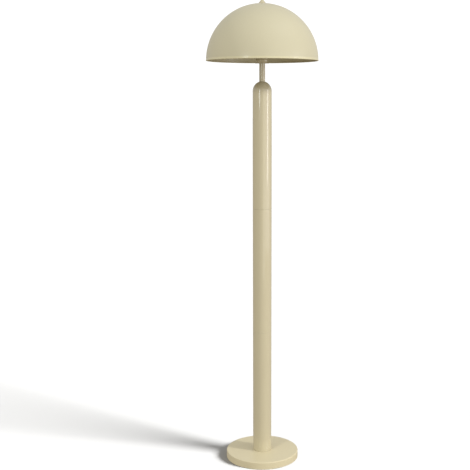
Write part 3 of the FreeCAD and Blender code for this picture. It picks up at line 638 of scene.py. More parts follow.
def finish_piece(obj: bpy.types.Object, name: str, body: str, finish: Finish, *nodes: str,
                 smooth: float = SMOOTH) -> bpy.types.Object:
    """Name a piece, paint it, and give it the CAD nodes' place.

    Args:
        obj: The piece, shaped.
        name: Its name.
        body: CAD body that it moves with.
        finish: Its finish.
        nodes: CAD nodes that it stands for.
        smooth: Edges flatter than this angle are shaded smooth.

    Returns:
        The piece.
    """
    Bench.settle(obj)
    bpy.ops.object.shade_smooth_by_angle(angle=smooth)
    Bench.modify(obj, "WEIGHTED_NORMAL", keep_sharp=True)
    obj.name = name
    obj.data.name = name
    obj.data.materials.clear()
    obj.data.materials.append(finish.material())
    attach(obj, body)
    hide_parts(*nodes)
    LOG.info("%s: %d faces on %s, for %s", name, len(obj.data.polygons), body, ", ".join(nodes))
    return obj


def paint_node(node: str, finish: Finish) -> None:
    """Paint a CAD node that stays as it is.

    Args:
        node: Name of the node.
        finish: Its finish.
    """
    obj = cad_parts[node]
    obj.data.materials.clear()
    obj.data.materials.append(finish.material())
    LOG.info("%s: kept as it is, in %s", node, finish.name)


# ---------------------------------------------------------------- base


@dataclass
class Base:
    """Weighted foot: pressed cover over an iron disc, on a foam ring."""

    sheet: float = 0.0012
    edge_round: float = 0.003
    edge_gap: float = 0.001           # the cover's edge ends this far above the floor
    lead_hole: float = 0.008
    weight_web: float = 0.01
    weight_rim: float = 0.018
    weight_edge: float = 0.0025
    weight_soften: float = 0.0006
    hub_recess: float = 0.036
    hub_wall: float = 0.012
    passage: float = 0.012
    pad_inset: float = 0.002          # from the hub's recess to the ring's inside
    pad_crush: float = 0.0004
    screw_circle: float = 0.02
    screw_radius: float = 0.003
    screw_play: float = 0.0003
    screw_point: float = 0.0006
    head_radius: float = 0.005
    key_radius: float = 0.0025 / math.cos(math.pi / 6)
    key_depth: float = 0.003
    washer_radius: float = 0.0055
    washer_play: float = 0.0001
    washer_split: float = 0.0003      # half the width of the gap in the spring washer
    inlet_height: float = 0.0095
    inlet_hole: float = 0.0048
    groove_half: float = 0.00375
    pocket_half: float = 0.0067       # pocket in the rim for the bushing's inner end
    pocket_start: float = 0.1108
    pocket_top: float = 0.0162
    clear: float = 0.13               # beyond the weight's rim
    radius: float = field(init=False, default=0.0)
    top: float = field(init=False, default=0.0)

    def build(self) -> None:
        """Make the cover, the weight, the pad, the screws and the bushing."""
        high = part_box("base_cover")[1]
        self.radius, self.top = high.x, high.z
        self.build_cover()
        self.build_weight()
        self.build_pad()
        self.build_screws()
        self.build_bushing()

    def build_cover(self) -> None:
        """Pressed sheet: flat top, rounded edge, straight side, and the inlet's hole."""
        bend = (self.radius - self.edge_round, self.top - self.edge_round)
        section = Section().to((self.lead_hole, self.top)).to((bend[0] * 0.5, self.top))
        section.bend(bend, self.edge_round, 90.0, 0.0, 8)
        section.to((self.radius, self.edge_gap), (self.radius - self.sheet, self.edge_gap))
        section.bend(bend, self.edge_round - self.sheet, 0.0, 90.0, 8)
        section.to((self.lead_hole, self.top - self.sheet))
        cover = Bench.turn(section, steps=160)
        Bench.cut(cover, Bench.bar(self.inlet_hole, (0, self.radius * 0.8, self.inlet_height),
                                   (0, self.radius * 1.2, self.inlet_height)))
        # the cover takes the lighter copy of the cream paint: painted light
        finish_piece(cover, "pressed_base_cover", "stand", CREAM_BASE_PAINTED_LIGHT, "base_cover")

    def build_weight(self) -> None:
        """Iron disc with its hollow underside, groove and screw holes."""
        low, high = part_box("base_weight")
        outer, foot, top = high.x, low.z, high.z
        web = top - self.weight_web
        rim, hub = outer - self.weight_rim, self.hub_recess + self.hub_wall
        section = Section().to((self.passage, top), (outer - self.weight_edge, top),
                               (outer, top - self.weight_edge), (outer, foot), (rim, foot),
                               (rim, web), (hub, web), (hub, foot), (self.hub_recess, foot),
                               (self.hub_recess, web), (self.passage, web))
        weight = Bench.turn(section, steps=128)
        groove_top = self.inlet_height + self.groove_half
        Bench.cut(weight, Bench.block((-self.groove_half, 0.0, -PAST),
                                      (self.groove_half, self.clear, groove_top)))
        Bench.cut(weight, Bench.block((-self.pocket_half, self.pocket_start, -PAST),
                                      (self.pocket_half, self.clear, self.pocket_top)))
        hole = Bench.bar(self.screw_radius + self.screw_play, (0.0, -self.screw_circle, web - PAST),
                         (0.0, -self.screw_circle, top + PAST), 32)
        Bench.cut(weight, Bench.around(hole, 3))
        Bench.round_edges(weight, self.weight_soften)
        finish_piece(weight, "iron_weight", "stand", CAST_IRON, "base_weight")

    def build_pad(self) -> None:
        """Foam ring, its edges a little crushed."""
        low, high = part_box("base_pad")
        inside = self.hub_recess + self.pad_inset
        section = Section().to((inside, low.z), (high.x, low.z), (high.x, high.z), (inside, high.z))
        pad = Bench.turn(section, steps=128)
        Bench.round_edges(pad, self.pad_crush)
        finish_piece(pad, "foam_pad", "stand", PAD_FOAM, "base_pad")

    def build_screws(self) -> None:
        """Three socket screws and the spring washers under their heads."""
        low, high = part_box("foot_screws")
        washer_low, washer_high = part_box("foot_lock_washers")
        head = washer_low.z
        centre = (0.0, -self.screw_circle, 0.0)
        section = Section().to((0.0, low.z), (self.head_radius - 0.0006, low.z),
                               (self.head_radius, low.z + 0.0005), (self.head_radius, head - 0.0003),
                               (self.head_radius - 0.0003, head), (self.screw_radius, head),
                               (self.screw_radius, high.z - self.screw_point),
                               (self.screw_radius - self.screw_point, high.z), (0.0, high.z))
        screw = Bench.turn(section, steps=32, centre=centre)
        Bench.cut(screw, Bench.bar(self.key_radius, (0.0, -self.screw_circle, low.z - PAST),
                                   (0.0, -self.screw_circle, low.z + self.key_depth), 6))
        finish_piece(Bench.around(screw, 3), "foot_screw_set", "stand", ZINC_STEEL, "foot_screws")
        inside = self.screw_radius + self.washer_play
        section = Section().to((inside, washer_low.z), (self.washer_radius, washer_low.z),
                               (self.washer_radius, washer_high.z), (inside, washer_high.z))
        washer = Bench.turn(section, steps=32, centre=centre)
        Bench.cut(washer, Bench.block(
            (self.screw_radius - PAST, -self.screw_circle - self.washer_split, washer_low.z - PAST),
            (self.washer_radius + PAST, -self.screw_circle + self.washer_split, washer_high.z + PAST)))
        finish_piece(Bench.around(washer, 3), "spring_washer_set", "stand", ZINC_STEEL,
                     "foot_lock_washers")

    def build_bushing(self) -> None:
        """Round bushing of the lead's inlet, with its flange outside and lip inside."""
        low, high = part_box("cord_bushing")
        bore, sleeve, flange, lip = 0.00315, 0.00475, 0.00625, 0.00565
        flange_round, bore_round = 0.0008, 0.0006
        wall = self.radius - 0.0002
        inner = self.radius - self.sheet
        lip_foot, lip_peak = inner - 0.0018, inner - 0.0013
        section = Section().to((bore, low.y), (sleeve, low.y), (sleeve, lip_foot), (lip, lip_peak),
                               (lip, inner), (sleeve, inner), (sleeve, wall), (flange, wall),
                               (flange, high.y - flange_round))
        section.bend((flange - flange_round, high.y - flange_round), flange_round, 0.0, 90.0, 4)
        section.bend((bore + bore_round, high.y - bore_round), bore_round, 90.0, 180.0, 4)
        bushing = Bench.turn(section, 48, Turning.TO_THE_BACK, (0.0, 0.0, self.inlet_height))
        finish_piece(bushing, "inlet_bushing", "stand", NYLON, "cord_bushing")


# ---------------------------------------------------------------- column and neck


@dataclass
class Column:
    """Three screwed sections, the top one with its rounded end, and what holds them together."""

    wall: float = 0.0012
    edge: float = 0.0008
    edge_bend: float = 0.3            # where the broken edge bends, as a share of its width

    def build(self) -> None:
        """Make the sections, and paint the plugs, pipes and nuts inside them."""
        self.build_straight("lower_tube", "lower_column_section")
        self.build_straight("middle_tube", "middle_column_section")
        self.build_upper()
        for node in ("foot_plug", "lower_joint_plug", "middle_foot_plug", "middle_joint_plug",
                     "upper_foot_plug", "lower_joint_nipple", "upper_joint_nipple", "joint_nuts"):
            paint_node(node, ZINC_STEEL)

    def broken_edge(self, section: Section, radius: float, height: float, up: float) -> Section:
        """Follow a section's softened outer edge.

        Args:
            section: The half-section so far.
            radius: Outer radius.
            height: Height of the end.
            up: 1.0 where the section goes up past the end, or -1.0 where it reaches it.

        Returns:
            The section.
        """
        inner, full = (radius - self.edge, height), (radius, height + up * self.edge)
        soft = (radius - self.edge_bend * self.edge, height + up * self.edge_bend * self.edge)
        return section.to(inner, soft, full) if up > 0 else section.to(full, soft, inner)

    def build_straight(self, node: str, name: str) -> None:
        """Straight section with broken edges, which show as a fine seam.

        Args:
            node: CAD node that it stands for.
            name: Its name.
        """
        low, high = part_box(node)
        radius = high.x
        section = Section().to((radius - self.wall, low.z))
        self.broken_edge(section, radius, low.z, 1.0)
        for share in BETWEEN:
            section.to((radius, low.z + share * (high.z - low.z)))
        self.broken_edge(section, radius, high.z, -1.0)
        section.to((radius - self.wall, high.z))
        finish_piece(Bench.turn(section), name, "stand", CREAM_GLOSS, node)

    def build_upper(self) -> None:
        """Top section with its half-sphere end, flat where the neck stands."""
        low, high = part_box("upper_tube")
        radius, neck, flat = high.x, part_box("neck_tube")[1].x, high.z
        centre = flat - math.sqrt(radius ** 2 - neck ** 2)
        inner = radius - self.wall
        end = math.degrees(math.asin((flat - centre) / radius))
        inner_end = math.degrees(math.asin((flat - self.wall - centre) / inner))
        section = Section().to((inner, low.z))
        self.broken_edge(section, radius, low.z, 1.0)
        for share in BETWEEN:
            section.to((radius, low.z + share * (centre - low.z)))
        section.bend((0.0, centre), radius, 0.0, end, 28)
        section.to((PIPE_HOLE, flat), (PIPE_HOLE, flat - self.wall))
        section.bend((0.0, centre), inner, inner_end, 0.0, 20)
        finish_piece(Bench.turn(section), "rounded_column_section", "stand", CREAM_GLOSS, "upper_tube")


@dataclass
class Neck:
    """Thin tube between column and lampholder, with the ring on its top."""

    wall: float = 0.0015
    edge: float = 0.0003

    def build(self) -> None:
        """Make the tube and the ring, and paint the pipe, washer and nut inside."""
        low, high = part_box("neck_tube")
        radius = high.x
        section = Section().to((radius - self.wall, low.z), (radius - self.edge, low.z),
                               (radius, low.z + self.edge), (radius, (low.z + high.z) / 2),
                               (radius, high.z - self.edge), (radius - self.edge, high.z),
                               (radius - self.wall, high.z))
        finish_piece(Bench.turn(section, 64), "neck_pipe_cover", "stand", CREAM_GLOSS, "neck_tube")
        low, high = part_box("check_ring")
        section = Section.ring(PIPE_HOLE, radius, low.z, high.z, self.edge, self.edge)
        finish_piece(Bench.turn(section, 64), "neck_check_ring", "stand", CREAM_GLOSS, "check_ring")
        for node in ("lamp_pipe", "neck_washer", "neck_nut"):
            paint_node(node, ZINC_STEEL)


# ---------------------------------------------------------------- lampholder


@dataclass
class Lampholder:
    """Ribbed cap, sleeve with its turned-in mouth, screw shell and turn-knob switch."""

    cap_wall: float = 0.001
    bowl_height: float = 0.008
    foot_radius: float = 0.012
    rib_count: int = 24
    rib_radius: float = 0.0008
    rib_margin: float = 0.0012
    thread_hole: float = 0.0049
    collar_radius: float = 0.0075
    collar_height: float = 0.01
    lip: float = 0.0003
    sleeve_wall: float = 0.0007
    curl: float = 0.002
    bead_depths: tuple[float, ...] = (0.012, 0.008)      # below the sleeve's mouth
    bead_half: float = 0.0012
    bead_rise: float = 0.0005
    switch_hole: float = 0.0028
    shell_wall: float = 0.0004
    shell_floor_hole: float = 0.006
    shell_turns: int = 4
    rod_edge: float = 0.0003
    knob_radius: float = 0.006
    knob_bore: float = 0.00255
    knob_bore_depth: float = 0.009
    knob_round: float = 0.0012
    knob_edge: float = 0.0004
    flute_count: int = 10
    flute_radius: float = 0.0011
    flute_start: float = 0.0018

    def build(self) -> None:
        """Make the parts that show, and paint those inside."""
        self.build_cap()
        self.build_sleeve()
        self.build_screw_shell()
        self.build_switch()
        paint_node("socket_body", PHENOLIC)
        paint_node("socket_liner", FIBRE)
        paint_node("centre_contact", BRASS)
        paint_node("terminal_screws", BRASS)

    def build_cap(self) -> None:
        """Small foot, bowl and ribbed skirt."""
        low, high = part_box("socket_cap")
        radius = high.x - self.rib_radius
        bowl_top = low.z + self.bowl_height
        run = radius - self.foot_radius
        bowl = (run ** 2 + self.bowl_height ** 2) / (2 * run)
        middle = (radius - bowl, bowl_top)
        end = -math.degrees(math.asin(self.bowl_height / bowl))
        inner_end = -math.degrees(math.asin((self.bowl_height - self.cap_wall) / (bowl - self.cap_wall)))
        section = Section().to((self.thread_hole, low.z))
        section.bend(middle, bowl, end, 0.0, 12)
        section.to((radius, high.z - self.lip), (radius - self.lip, high.z),
                   (radius - self.cap_wall, high.z))
        section.bend(middle, bowl - self.cap_wall, 0.0, inner_end, 12)
        section.to((self.collar_radius, low.z + self.cap_wall),
                   (self.collar_radius, low.z + self.collar_height),
                   (self.thread_hole, low.z + self.collar_height))
        cap = Bench.turn(section)
        rib_low, rib_high = bowl_top + self.rib_margin, high.z - self.rib_margin
        rib_section = Section().to((0.0, rib_low))
        rib_section.bend((0.0, rib_low + self.rib_radius), self.rib_radius, -80.0, 0.0, 3)
        rib_section.bend((0.0, rib_high - self.rib_radius), self.rib_radius, 0.0, 80.0, 3)
        rib_section.to((0.0, rib_high))
        rib = Bench.turn(rib_section, 12, centre=(radius, 0.0, 0.0), closed=False)
        cap = Bench.join(cap, Bench.around(rib, self.rib_count))
        finish_piece(cap, "ribbed_holder_cap", "stand", CREAM_GLOSS, "socket_cap")

    def build_sleeve(self) -> None:
        """Outer sleeve with two pressed beads, the switch's hole and a turned-in mouth."""
        low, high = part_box("socket_shell")
        radius = high.x
        inner = radius - self.sleeve_wall
        mouth = (radius - self.curl, high.z - self.curl)
        section = Section().to((inner, low.z), (radius, low.z))
        for depth in self.bead_depths:
            height = high.z - depth
            section.to((radius, height - self.bead_half))
            section.sweep((radius + self.bead_rise, height), (radius, height + self.bead_half), 6)
        section.bend(mouth, self.curl, 0.0, 90.0, 6)
        section.bend(mouth, self.curl - self.sleeve_wall, 90.0, 0.0, 6)
        sleeve = Bench.turn(section)
        knob_low, knob_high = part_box("switch_knob")
        height = (knob_low.z + knob_high.z) / 2
        Bench.cut(sleeve, Bench.bar(self.switch_hole, (0.0, 0.0, height), (0.0, -OUTSIDE, height)))
        finish_piece(sleeve, "holder_sleeve", "stand", CREAM_GLOSS, "socket_shell")

    def build_screw_shell(self) -> None:
        """Brass cup that takes the bulb, with its rolled thread standing outwards."""
        low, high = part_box("screw_shell")
        outer, wall = high.x, self.shell_wall
        sunk, bead, start = 0.0002, 0.0007, low.z + 0.004
        section = Section().to((self.shell_floor_hole, low.z), (outer, low.z), (outer, high.z),
                               (outer - wall, high.z), (outer - wall, low.z + wall),
                               (self.shell_floor_hole, low.z + wall))
        shell = Bench.turn(section, 64)
        roll = Bench.thread(outer - sunk, bead, start, LAMP_PITCH, self.shell_turns)
        finish_piece(Bench.join(shell, roll), "brass_screw_shell", "stand", BRASS, "screw_shell")

    def build_switch(self) -> None:
        """Spindle and fluted knob."""
        low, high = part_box("switch_knob")
        height = (low.z + high.z) / 2
        centre = (0.0, 0.0, height)
        spindle_low, spindle_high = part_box("switch_spindle")
        radius = spindle_high.x
        section = Section().to((0.0, spindle_low.y), (radius - self.rod_edge, spindle_low.y),
                               (radius, spindle_low.y + self.rod_edge), (radius, spindle_high.y),
                               (0.0, spindle_high.y))
        spindle = Bench.turn(section, 32, Turning.TO_THE_BACK, centre, closed=False)
        finish_piece(spindle, "switch_rod", "switch", BRASS, "switch_spindle")
        radius, bore, edge, rounding = self.knob_radius, self.knob_bore, self.knob_edge, self.knob_round
        bottom = high.y - self.knob_bore_depth
        section = Section().to((0.0, low.y), (0.002, low.y + 0.0002), (0.0035, low.y))
        section.bend((radius - rounding, low.y + rounding), rounding, -90.0, 0.0, 5)
        section.to((radius, high.y - edge), (radius - edge, high.y), (bore, high.y), (bore, bottom),
                   (0.0, bottom))
        knob = Bench.turn(section, 60, Turning.TO_THE_BACK, centre, closed=False)
        flute = Bench.bar(self.flute_radius, (radius, low.y + self.flute_start, height),
                          (radius, high.y + PAST, height), 12)
        Bench.cut(knob, Bench.around(flute, self.flute_count, centre, "Y"))
        Bench.round_edges(knob, 0.00015, 1)
        finish_piece(knob, "fluted_switch_knob", "switch", PHENOLIC, "switch_knob")


# ---------------------------------------------------------------- bulb


@dataclass
class Bulb:
    """Standard screw bulb with a moulded lower half and a frosted globe."""

    tip_dome: float = 0.0006
    thread_depth: float = 0.0009
    thread_turns: int = 4
    cap_wall: float = 0.0007
    cap_play: float = 0.00005
    collar: float = 0.014
    edge: float = 0.0006
    waist: float = 0.003              # how far the lower half is drawn in
    housing_wall: float = 0.0012
    housing_floor: float = 0.0025
    ledge_width: float = 0.0023
    ledge_depth: float = 0.0015
    globe_wall: float = 0.0012
    widest_rise: float = 0.02
    swell: float = 0.0008

    def build(self) -> None:
        """Make the cap, the glass in it, the housing and the globe."""
        self.build_tip()
        self.build_cap()
        self.build_housing()
        self.build_globe()
        paint_node("bulb_board", LIGHT_BOARD)

    def build_tip(self) -> None:
        """Soldered tip, domed, and the black glass round it."""
        low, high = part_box("bulb_contact")
        radius = high.x
        section = Section().to((0.0, low.z))
        section.sweep((radius * 0.6, low.z + 0.0001), (radius * 0.92, low.z + self.tip_dome))
        section.to((radius, high.z), (0.0, high.z))
        tip = Bench.turn(section, 32, closed=False)
        finish_piece(tip, "solder_tip", "bulb_tip", BULB_METAL, "bulb_contact")
        low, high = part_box("bulb_insulator")
        cap_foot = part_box("bulb_cap")[0].z
        section = Section().to((0.0, low.z), (radius, low.z), (high.x, cap_foot), (high.x, high.z),
                               (0.0, high.z))
        glass = Bench.turn(section, 48, closed=False)
        finish_piece(glass, "cap_glass", "bulb", BULB_GLASS, "bulb_insulator")

    def build_cap(self) -> None:
        """Pressed cap with a real helical thread between its plain ends."""
        low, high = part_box("bulb_cap")
        root = high.x - self.thread_depth
        inner = root - self.cap_wall
        section = Section().to((inner, low.z), (root - 0.0002, low.z), (root, low.z + 0.0004),
                               (root, high.z - 0.0005), (root - 0.0002, high.z), (inner, high.z))
        cap = Bench.turn(section, 64)
        start = (low.z + high.z - self.thread_turns * LAMP_PITCH) / 2
        bead = Bench.thread(root, self.thread_depth, start, LAMP_PITCH, self.thread_turns)
        finish_piece(Bench.join(cap, bead), "threaded_bulb_cap", "bulb", BULB_METAL, "bulb_cap",
                     smooth=math.radians(50))

    def build_housing(self) -> None:
        """Moulded lower half with a boss in the cap and a ledge for the board."""
        low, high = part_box("bulb_housing")
        cap_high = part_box("bulb_cap")[1]
        foot, top, shoulder = cap_high.z, high.z, high.x
        boss = cap_high.x - self.thread_depth - self.cap_wall - self.cap_play
        inner_shoulder = shoulder - self.housing_wall
        ledge, ledge_z = inner_shoulder - self.ledge_width, top - self.ledge_depth
        inner_foot, floor = boss - self.housing_wall, foot + self.housing_floor
        waist_z = (foot + top) / 2
        section = Section().to((0.0, low.z), (boss, low.z), (boss, foot), (self.collar - self.edge, foot),
                               (self.collar, foot + self.edge))
        section.sweep(((self.collar + shoulder) / 2 - self.waist, waist_z), (shoulder, top - self.edge), 16)
        section.to((shoulder - self.edge / 2, top), (inner_shoulder, top), (inner_shoulder, ledge_z),
                   (ledge, ledge_z))
        section.sweep(((inner_foot + ledge) / 2 - self.waist, waist_z), (inner_foot, floor), 12)
        section.to((0.0, floor))
        housing = Bench.turn(section, 80, closed=False)
        finish_piece(housing, "bulb_lower_half", "bulb", BULB_WHITE, "bulb_housing")

    def build_globe(self) -> None:
        """Frosted globe on the lower half's top edge."""
        low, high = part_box("bulb_globe")
        housing_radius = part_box("bulb_housing")[1].x
        section = Section()
        for inset, out in ((0.0, True), (self.globe_wall, False)):
            radius, shoulder = high.x - inset, housing_radius - inset
            widest = low.z + self.widest_rise
            bow = ((radius + shoulder) / 2 + self.swell, (low.z + widest) / 2)
            wall = Section().to((shoulder, low.z)).sweep(bow, (radius, widest), 10)
            wall.points.pop()
            wall.bend((0.0, widest), radius, 0.0, 90.0, 22)
            section.points.extend(wall.points if out else wall.points[::-1])
        finish_piece(Bench.turn(section, 80), "frosted_globe", "bulb", BULB_FROST, "bulb_globe")


# ---------------------------------------------------------------- harp


@dataclass
class Harp:
    """Wire frame round the bulb: saddle, wire, ferrules, and the head with its stud."""

    strip: float = 0.0016
    strip_half: float = 0.0065
    bend: float = 0.0015
    shoulder: float = 0.0166
    tongue_half: float = 0.0022
    saddle_soften: float = 0.0003
    wire_radius: float = 0.002
    wire_play: float = 0.00005
    eye_rise: float = 0.005
    leg: float = 0.035
    flare: float = 0.036
    bends: tuple[float, ...] = (0.003, 0.022, 0.04, 0.046)     # from the eye up to the crown
    ferrule_wall: float = 0.001
    stud_radius: float = 0.003175
    stud_root: float = 0.0028
    stud_pitch: float = 0.00094
    stud_turns: int = 8
    stud_point: float = 0.0006

    def build(self) -> None:
        """Make the saddle, the wire, the ferrules and the head."""
        self.build_saddle()
        self.build_wire()
        for node in ("left_ferrule", "right_ferrule"):
            self.build_ferrule(node)
        self.build_head()

    def build_saddle(self) -> None:
        """Strip bent up into two arms, each narrowed to a tongue with an eye for the wire."""
        low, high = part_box("harp_saddle")
        arm = high.x - self.strip / 2
        floor, reach = low.z + self.strip / 2, self.bend + self.strip / 2
        line = Section().to((-arm, high.z))
        line.bend((-arm + reach, floor + reach), reach, 180.0, 270.0, 6)
        line.bend((arm - reach, floor + reach), reach, 270.0, 360.0, 6)
        line.to((arm, high.z))
        saddle = Bench.draw([Vector((x, -self.strip_half, z)) for x, z in line.points])
        bpy.ops.mesh.extrude_region_move(TRANSFORM_OT_translate={"value": (0.0, 2 * self.strip_half, 0.0)})
        bpy.ops.mesh.select_all(action="SELECT")
        bpy.ops.mesh.normals_make_consistent(inside=False)
        bpy.ops.object.mode_set(mode="OBJECT")
        Bench.modify(saddle, "SOLIDIFY", thickness=self.strip, offset=0.0)
        shoulder = low.z + self.shoulder
        for side in (-1, 1):
            low_y, high_y = sorted((side * self.tongue_half, side * (self.strip_half + PAST)))
            Bench.cut(saddle, Bench.block((-OUTSIDE, low_y, shoulder), (OUTSIDE, high_y, high.z + PAST)))
        eye = shoulder + self.eye_rise
        eye_radius = self.wire_radius + self.wire_play
        Bench.cut(saddle, Bench.bar(PIPE_HOLE, (0.0, 0.0, low.z - PAST), (0.0, 0.0, low.z + 2 * self.strip)),
                  Bench.bar(eye_radius, (-OUTSIDE, 0.0, eye), (OUTSIDE, 0.0, eye), 32))
        Bench.round_edges(saddle, self.saddle_soften)
        finish_piece(saddle, "bent_harp_saddle", "stand", CREAM_GLOSS, "harp_saddle")

    def build_wire(self) -> None:
        """Wire from one eye up, out and over the bulb, and down into the other eye."""
        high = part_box("harp_wire")[1]
        saddle_low, saddle_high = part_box("harp_saddle")
        arm_outer = saddle_high.x
        arm_inner, leg_x = arm_outer - self.strip, arm_outer + self.wire_radius
        side, crown = high.x - self.wire_radius, high.z - self.wire_radius
        eye = saddle_low.z + self.shoulder + self.eye_rise
        half = [(arm_inner, eye), (leg_x, eye), (leg_x, eye + self.leg),
                (side, eye + self.leg + self.flare), (side, crown)]
        corners = [Vector((-x, 0.0, z)) for x, z in half] + [Vector((x, 0.0, z)) for x, z in reversed(half)]
        radii = [*self.bends, *reversed(self.bends)]
        line = [corners[0]]
        for before, corner, after, radius in zip(corners, corners[1:], corners[2:], radii):
            line.extend(self.rounded(before, corner, after, radius))
        line.append(corners[-1])
        wire = Bench.wire(line, self.wire_radius, 7)
        finish_piece(wire, "bent_harp_wire", "stand", NICKEL_WIRE, "harp_wire")

    def rounded(self, before: Vector, corner: Vector, after: Vector, radius: float) -> list[Vector]:
        """Points of the bend at a corner of the wire.

        Args:
            before: Corner before.
            corner: The corner itself.
            after: Corner after.
            radius: Radius of the bend.

        Returns:
            Points along the bend.
        """
        back, ahead = (before - corner).normalized(), (after - corner).normalized()
        half = back.angle(ahead) / 2
        middle = corner + (back + ahead).normalized() * (radius / math.sin(half))
        start = corner + back * (radius / math.tan(half)) - middle
        end = corner + ahead * (radius / math.tan(half)) - middle
        steps = max(6, round(math.degrees(start.angle(end)) / 5))
        return [middle + radius * start.slerp(end, k / steps) for k in range(steps + 1)]

    def build_ferrule(self, node: str) -> None:
        """Sleeve round a leg and a tongue, its ends rolled in a little.

        Args:
            node: CAD node that it stands for, which is also its body.
        """
        low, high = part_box(node)
        centre = ((low.x + high.x) / 2, 0.0, 0.0)
        outer = (high.x - low.x) / 2
        inner = outer - self.ferrule_wall
        section = Section().to((inner, low.z), (outer - 0.0005, low.z), (outer - 0.0001, low.z + 0.0003),
                               (outer, low.z + 0.0007), (outer, high.z - 0.0007),
                               (outer - 0.0001, high.z - 0.0003), (outer - 0.0005, high.z), (inner, high.z))
        finish_piece(Bench.turn(section, 40, centre=centre), f"{node}_sleeve", node, NICKEL_WIRE, node)

    def build_head(self) -> None:
        """Boss on the wire's crown with the threaded stud."""
        low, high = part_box("harp_head")
        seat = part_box("shade_cushion")[0].z
        radius, root = high.x, self.stud_root
        section = Section().to((0.0, low.z), (radius - 0.001, low.z), (radius - 0.0003, low.z + 0.0003),
                               (radius, low.z + 0.001), (radius, seat - 0.0003), (radius - 0.0003, seat),
                               (root, seat), (root, high.z - 0.0004), (root - self.stud_point, high.z),
                               (0.0, high.z))
        head = Bench.turn(section, 48, closed=False)
        bead = Bench.thread(root, self.stud_radius - root, seat + 0.0006, self.stud_pitch,
                            self.stud_turns, 32)
        finish_piece(Bench.join(head, bead), "harp_boss_and_stud", "stand", NICKEL_WIRE, "harp_head")


# ---------------------------------------------------------------- shade and finial


@dataclass
class Shade:
    """Half-sphere of spun sheet with a small flat on top and a bead rolled round its rim."""

    sheet: float = 0.001
    bead_radius: float = 0.002
    bead_proud: float = 0.0007
    bead_height: float = 0.0032       # where the sphere meets the bead
    hole: float = 0.003525
    # height of the painted highlight band round the rim
    rim_highlight_band: float = 0.0075
    steps: int = 192

    def build(self) -> None:
        """Make the spun shade and the cushion under it."""
        low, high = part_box("shade")
        radius = high.x - self.bead_proud
        centre, flat = low.z, high.z
        end = math.degrees(math.asin((flat - centre) / radius))
        inner = radius - self.sheet
        inner_end = math.degrees(math.asin((flat - self.sheet - centre) / inner))
        bead = (high.x - self.bead_radius, centre + self.bead_radius)
        start = math.degrees(math.asin(self.bead_height / radius))
        section = Section().bend((0.0, centre), radius, start, end, 64)
        section.to((self.hole, flat), (self.hole, flat - self.sheet))
        section.bend((0.0, centre), inner, inner_end, start, 56)
        section.bend(bead, self.bead_radius, 130.0, 395.0, 18)
        shade = finish_piece(Bench.turn(section, self.steps), "spun_shade", "shade", CREAM_SATIN, "shade")
        # painted highlight: the outside of the rim gets the lighter tone
        self.paint_rim_highlight(shade, centre + self.rim_highlight_band)
        low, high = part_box("shade_cushion")
        section = Section.ring(STUD_HOLE, high.x, low.z, high.z, 0.0002, 0.0003)
        finish_piece(Bench.turn(section, 48), "shade_seat_cushion", "stand", SOFT_WASHER, "shade_cushion")

    def paint_rim_highlight(self, shade: bpy.types.Object, top: float) -> None:
        """Paint the outside of the rolled rim in a lighter tone with more gloss: a painted highlight along
        the rim.

        Args:
            shade: The shade.
            top: Height that the band reaches.
        """
        shade.data.materials.append(RIM_PAINTED_HIGHLIGHT.material())
        for face in shade.data.polygons:
            outward = face.center.x * face.normal.x + face.center.y * face.normal.y > 0.0
            if outward and face.center.z < top:
                face.material_index = 1
        LOG.info("rim of %s painted up to %.4f m", shade.name, top)


@dataclass
class Finial:
    """Flared knob that holds the shade down, and the washer under it."""

    bore: float = 0.003255
    base_edge: float = 0.001
    flare: float = 0.0108
    hollow: float = 0.0009
    tip: float = 0.0036
    bore_depth: float = 0.0068

    def build(self) -> None:
        """Make the washer and the finial."""
        low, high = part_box("finial_washer")
        section = Section.ring(STUD_HOLE, high.x, low.z, high.z, 0.0002, 0.0002)
        washer = Bench.turn(section, 64)
        finish_piece(washer, "finial_ring_washer", "finial_ring", CREAM_GLOSS, "finial_washer")
        low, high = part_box("finial")
        base = high.x
        foot, neck = low.z + self.base_edge, low.z + self.flare
        section = Section().to((self.bore, low.z), (base - 0.0002, low.z), (base, low.z + 0.0003),
                               (base, foot - 0.0003), (base - 0.0003, foot))
        section.sweep(((base + self.tip) / 2 - self.hollow, (foot + neck) / 2), (self.tip, neck), 16)
        section.bend((0.0, high.z - self.tip), self.tip, 0.0, 90.0, 10)
        section.to((0.0, low.z + self.bore_depth), (self.bore, low.z + self.bore_depth))
        finish_piece(Bench.turn(section, 64), "flared_finial", "finial", CREAM_GLOSS, "finial")


# ---------------------------------------------------------------- studio


def toward(bearing: float, rise: float) -> Vector:
    """Direction in which a light stands, seen from the lamp.

    Args:
        bearing: Degrees from straight in front (-Y) towards the right (+X).
        rise: Degrees above the level.

    Returns:
        Unit vector.
    """
    angle, up = math.radians(bearing), math.radians(rise)
    return Vector((math.sin(angle) * math.cos(up), -math.cos(angle) * math.cos(up), math.sin(up)))


@dataclass(frozen=True)
class SoftBox:
    """Lit panel that faces the lamp.

    bearing and rise say where it stands, spread is the angle that its width fills, low and high are the
    heights that it spans before it is raised, and glow is how bright its face is in each colour.
    """

    name: str
    bearing: float
    spread: float
    low: float
    high: float
    glow: Colour
    rise: float = 0.0
    distance: float = 3.0

    def light(self, shown_on: bpy.types.Collection) -> None:
        """Put the panel up.

        Args:
            shown_on: What it lights.
        """
        direction = toward(self.bearing, self.rise)
        data = bpy.data.lights.new(self.name, "AREA")
        data.shape = "RECTANGLE"
        data.size = 2 * self.distance * math.tan(math.radians(self.spread / 2))
        data.size_y = self.high - self.low
        strongest = max(self.glow)
        data.color = [part / strongest for part in self.glow]
        data.energy = math.pi * data.size * data.size_y * strongest
        panel = bpy.data.objects.new(self.name, data)
        panel.location = direction * self.distance + Vector((0.0, 0.0, (self.low + self.high) / 2))
        panel.rotation_euler = direction.to_track_quat("Z", "Y").to_euler()
        panel.light_linking.receiver_collection = shown_on
        bpy.context.scene.collection.objects.link(panel)
        LOG.info("%s: %.2f by %.2f m", self.name, data.size, data.size_y)


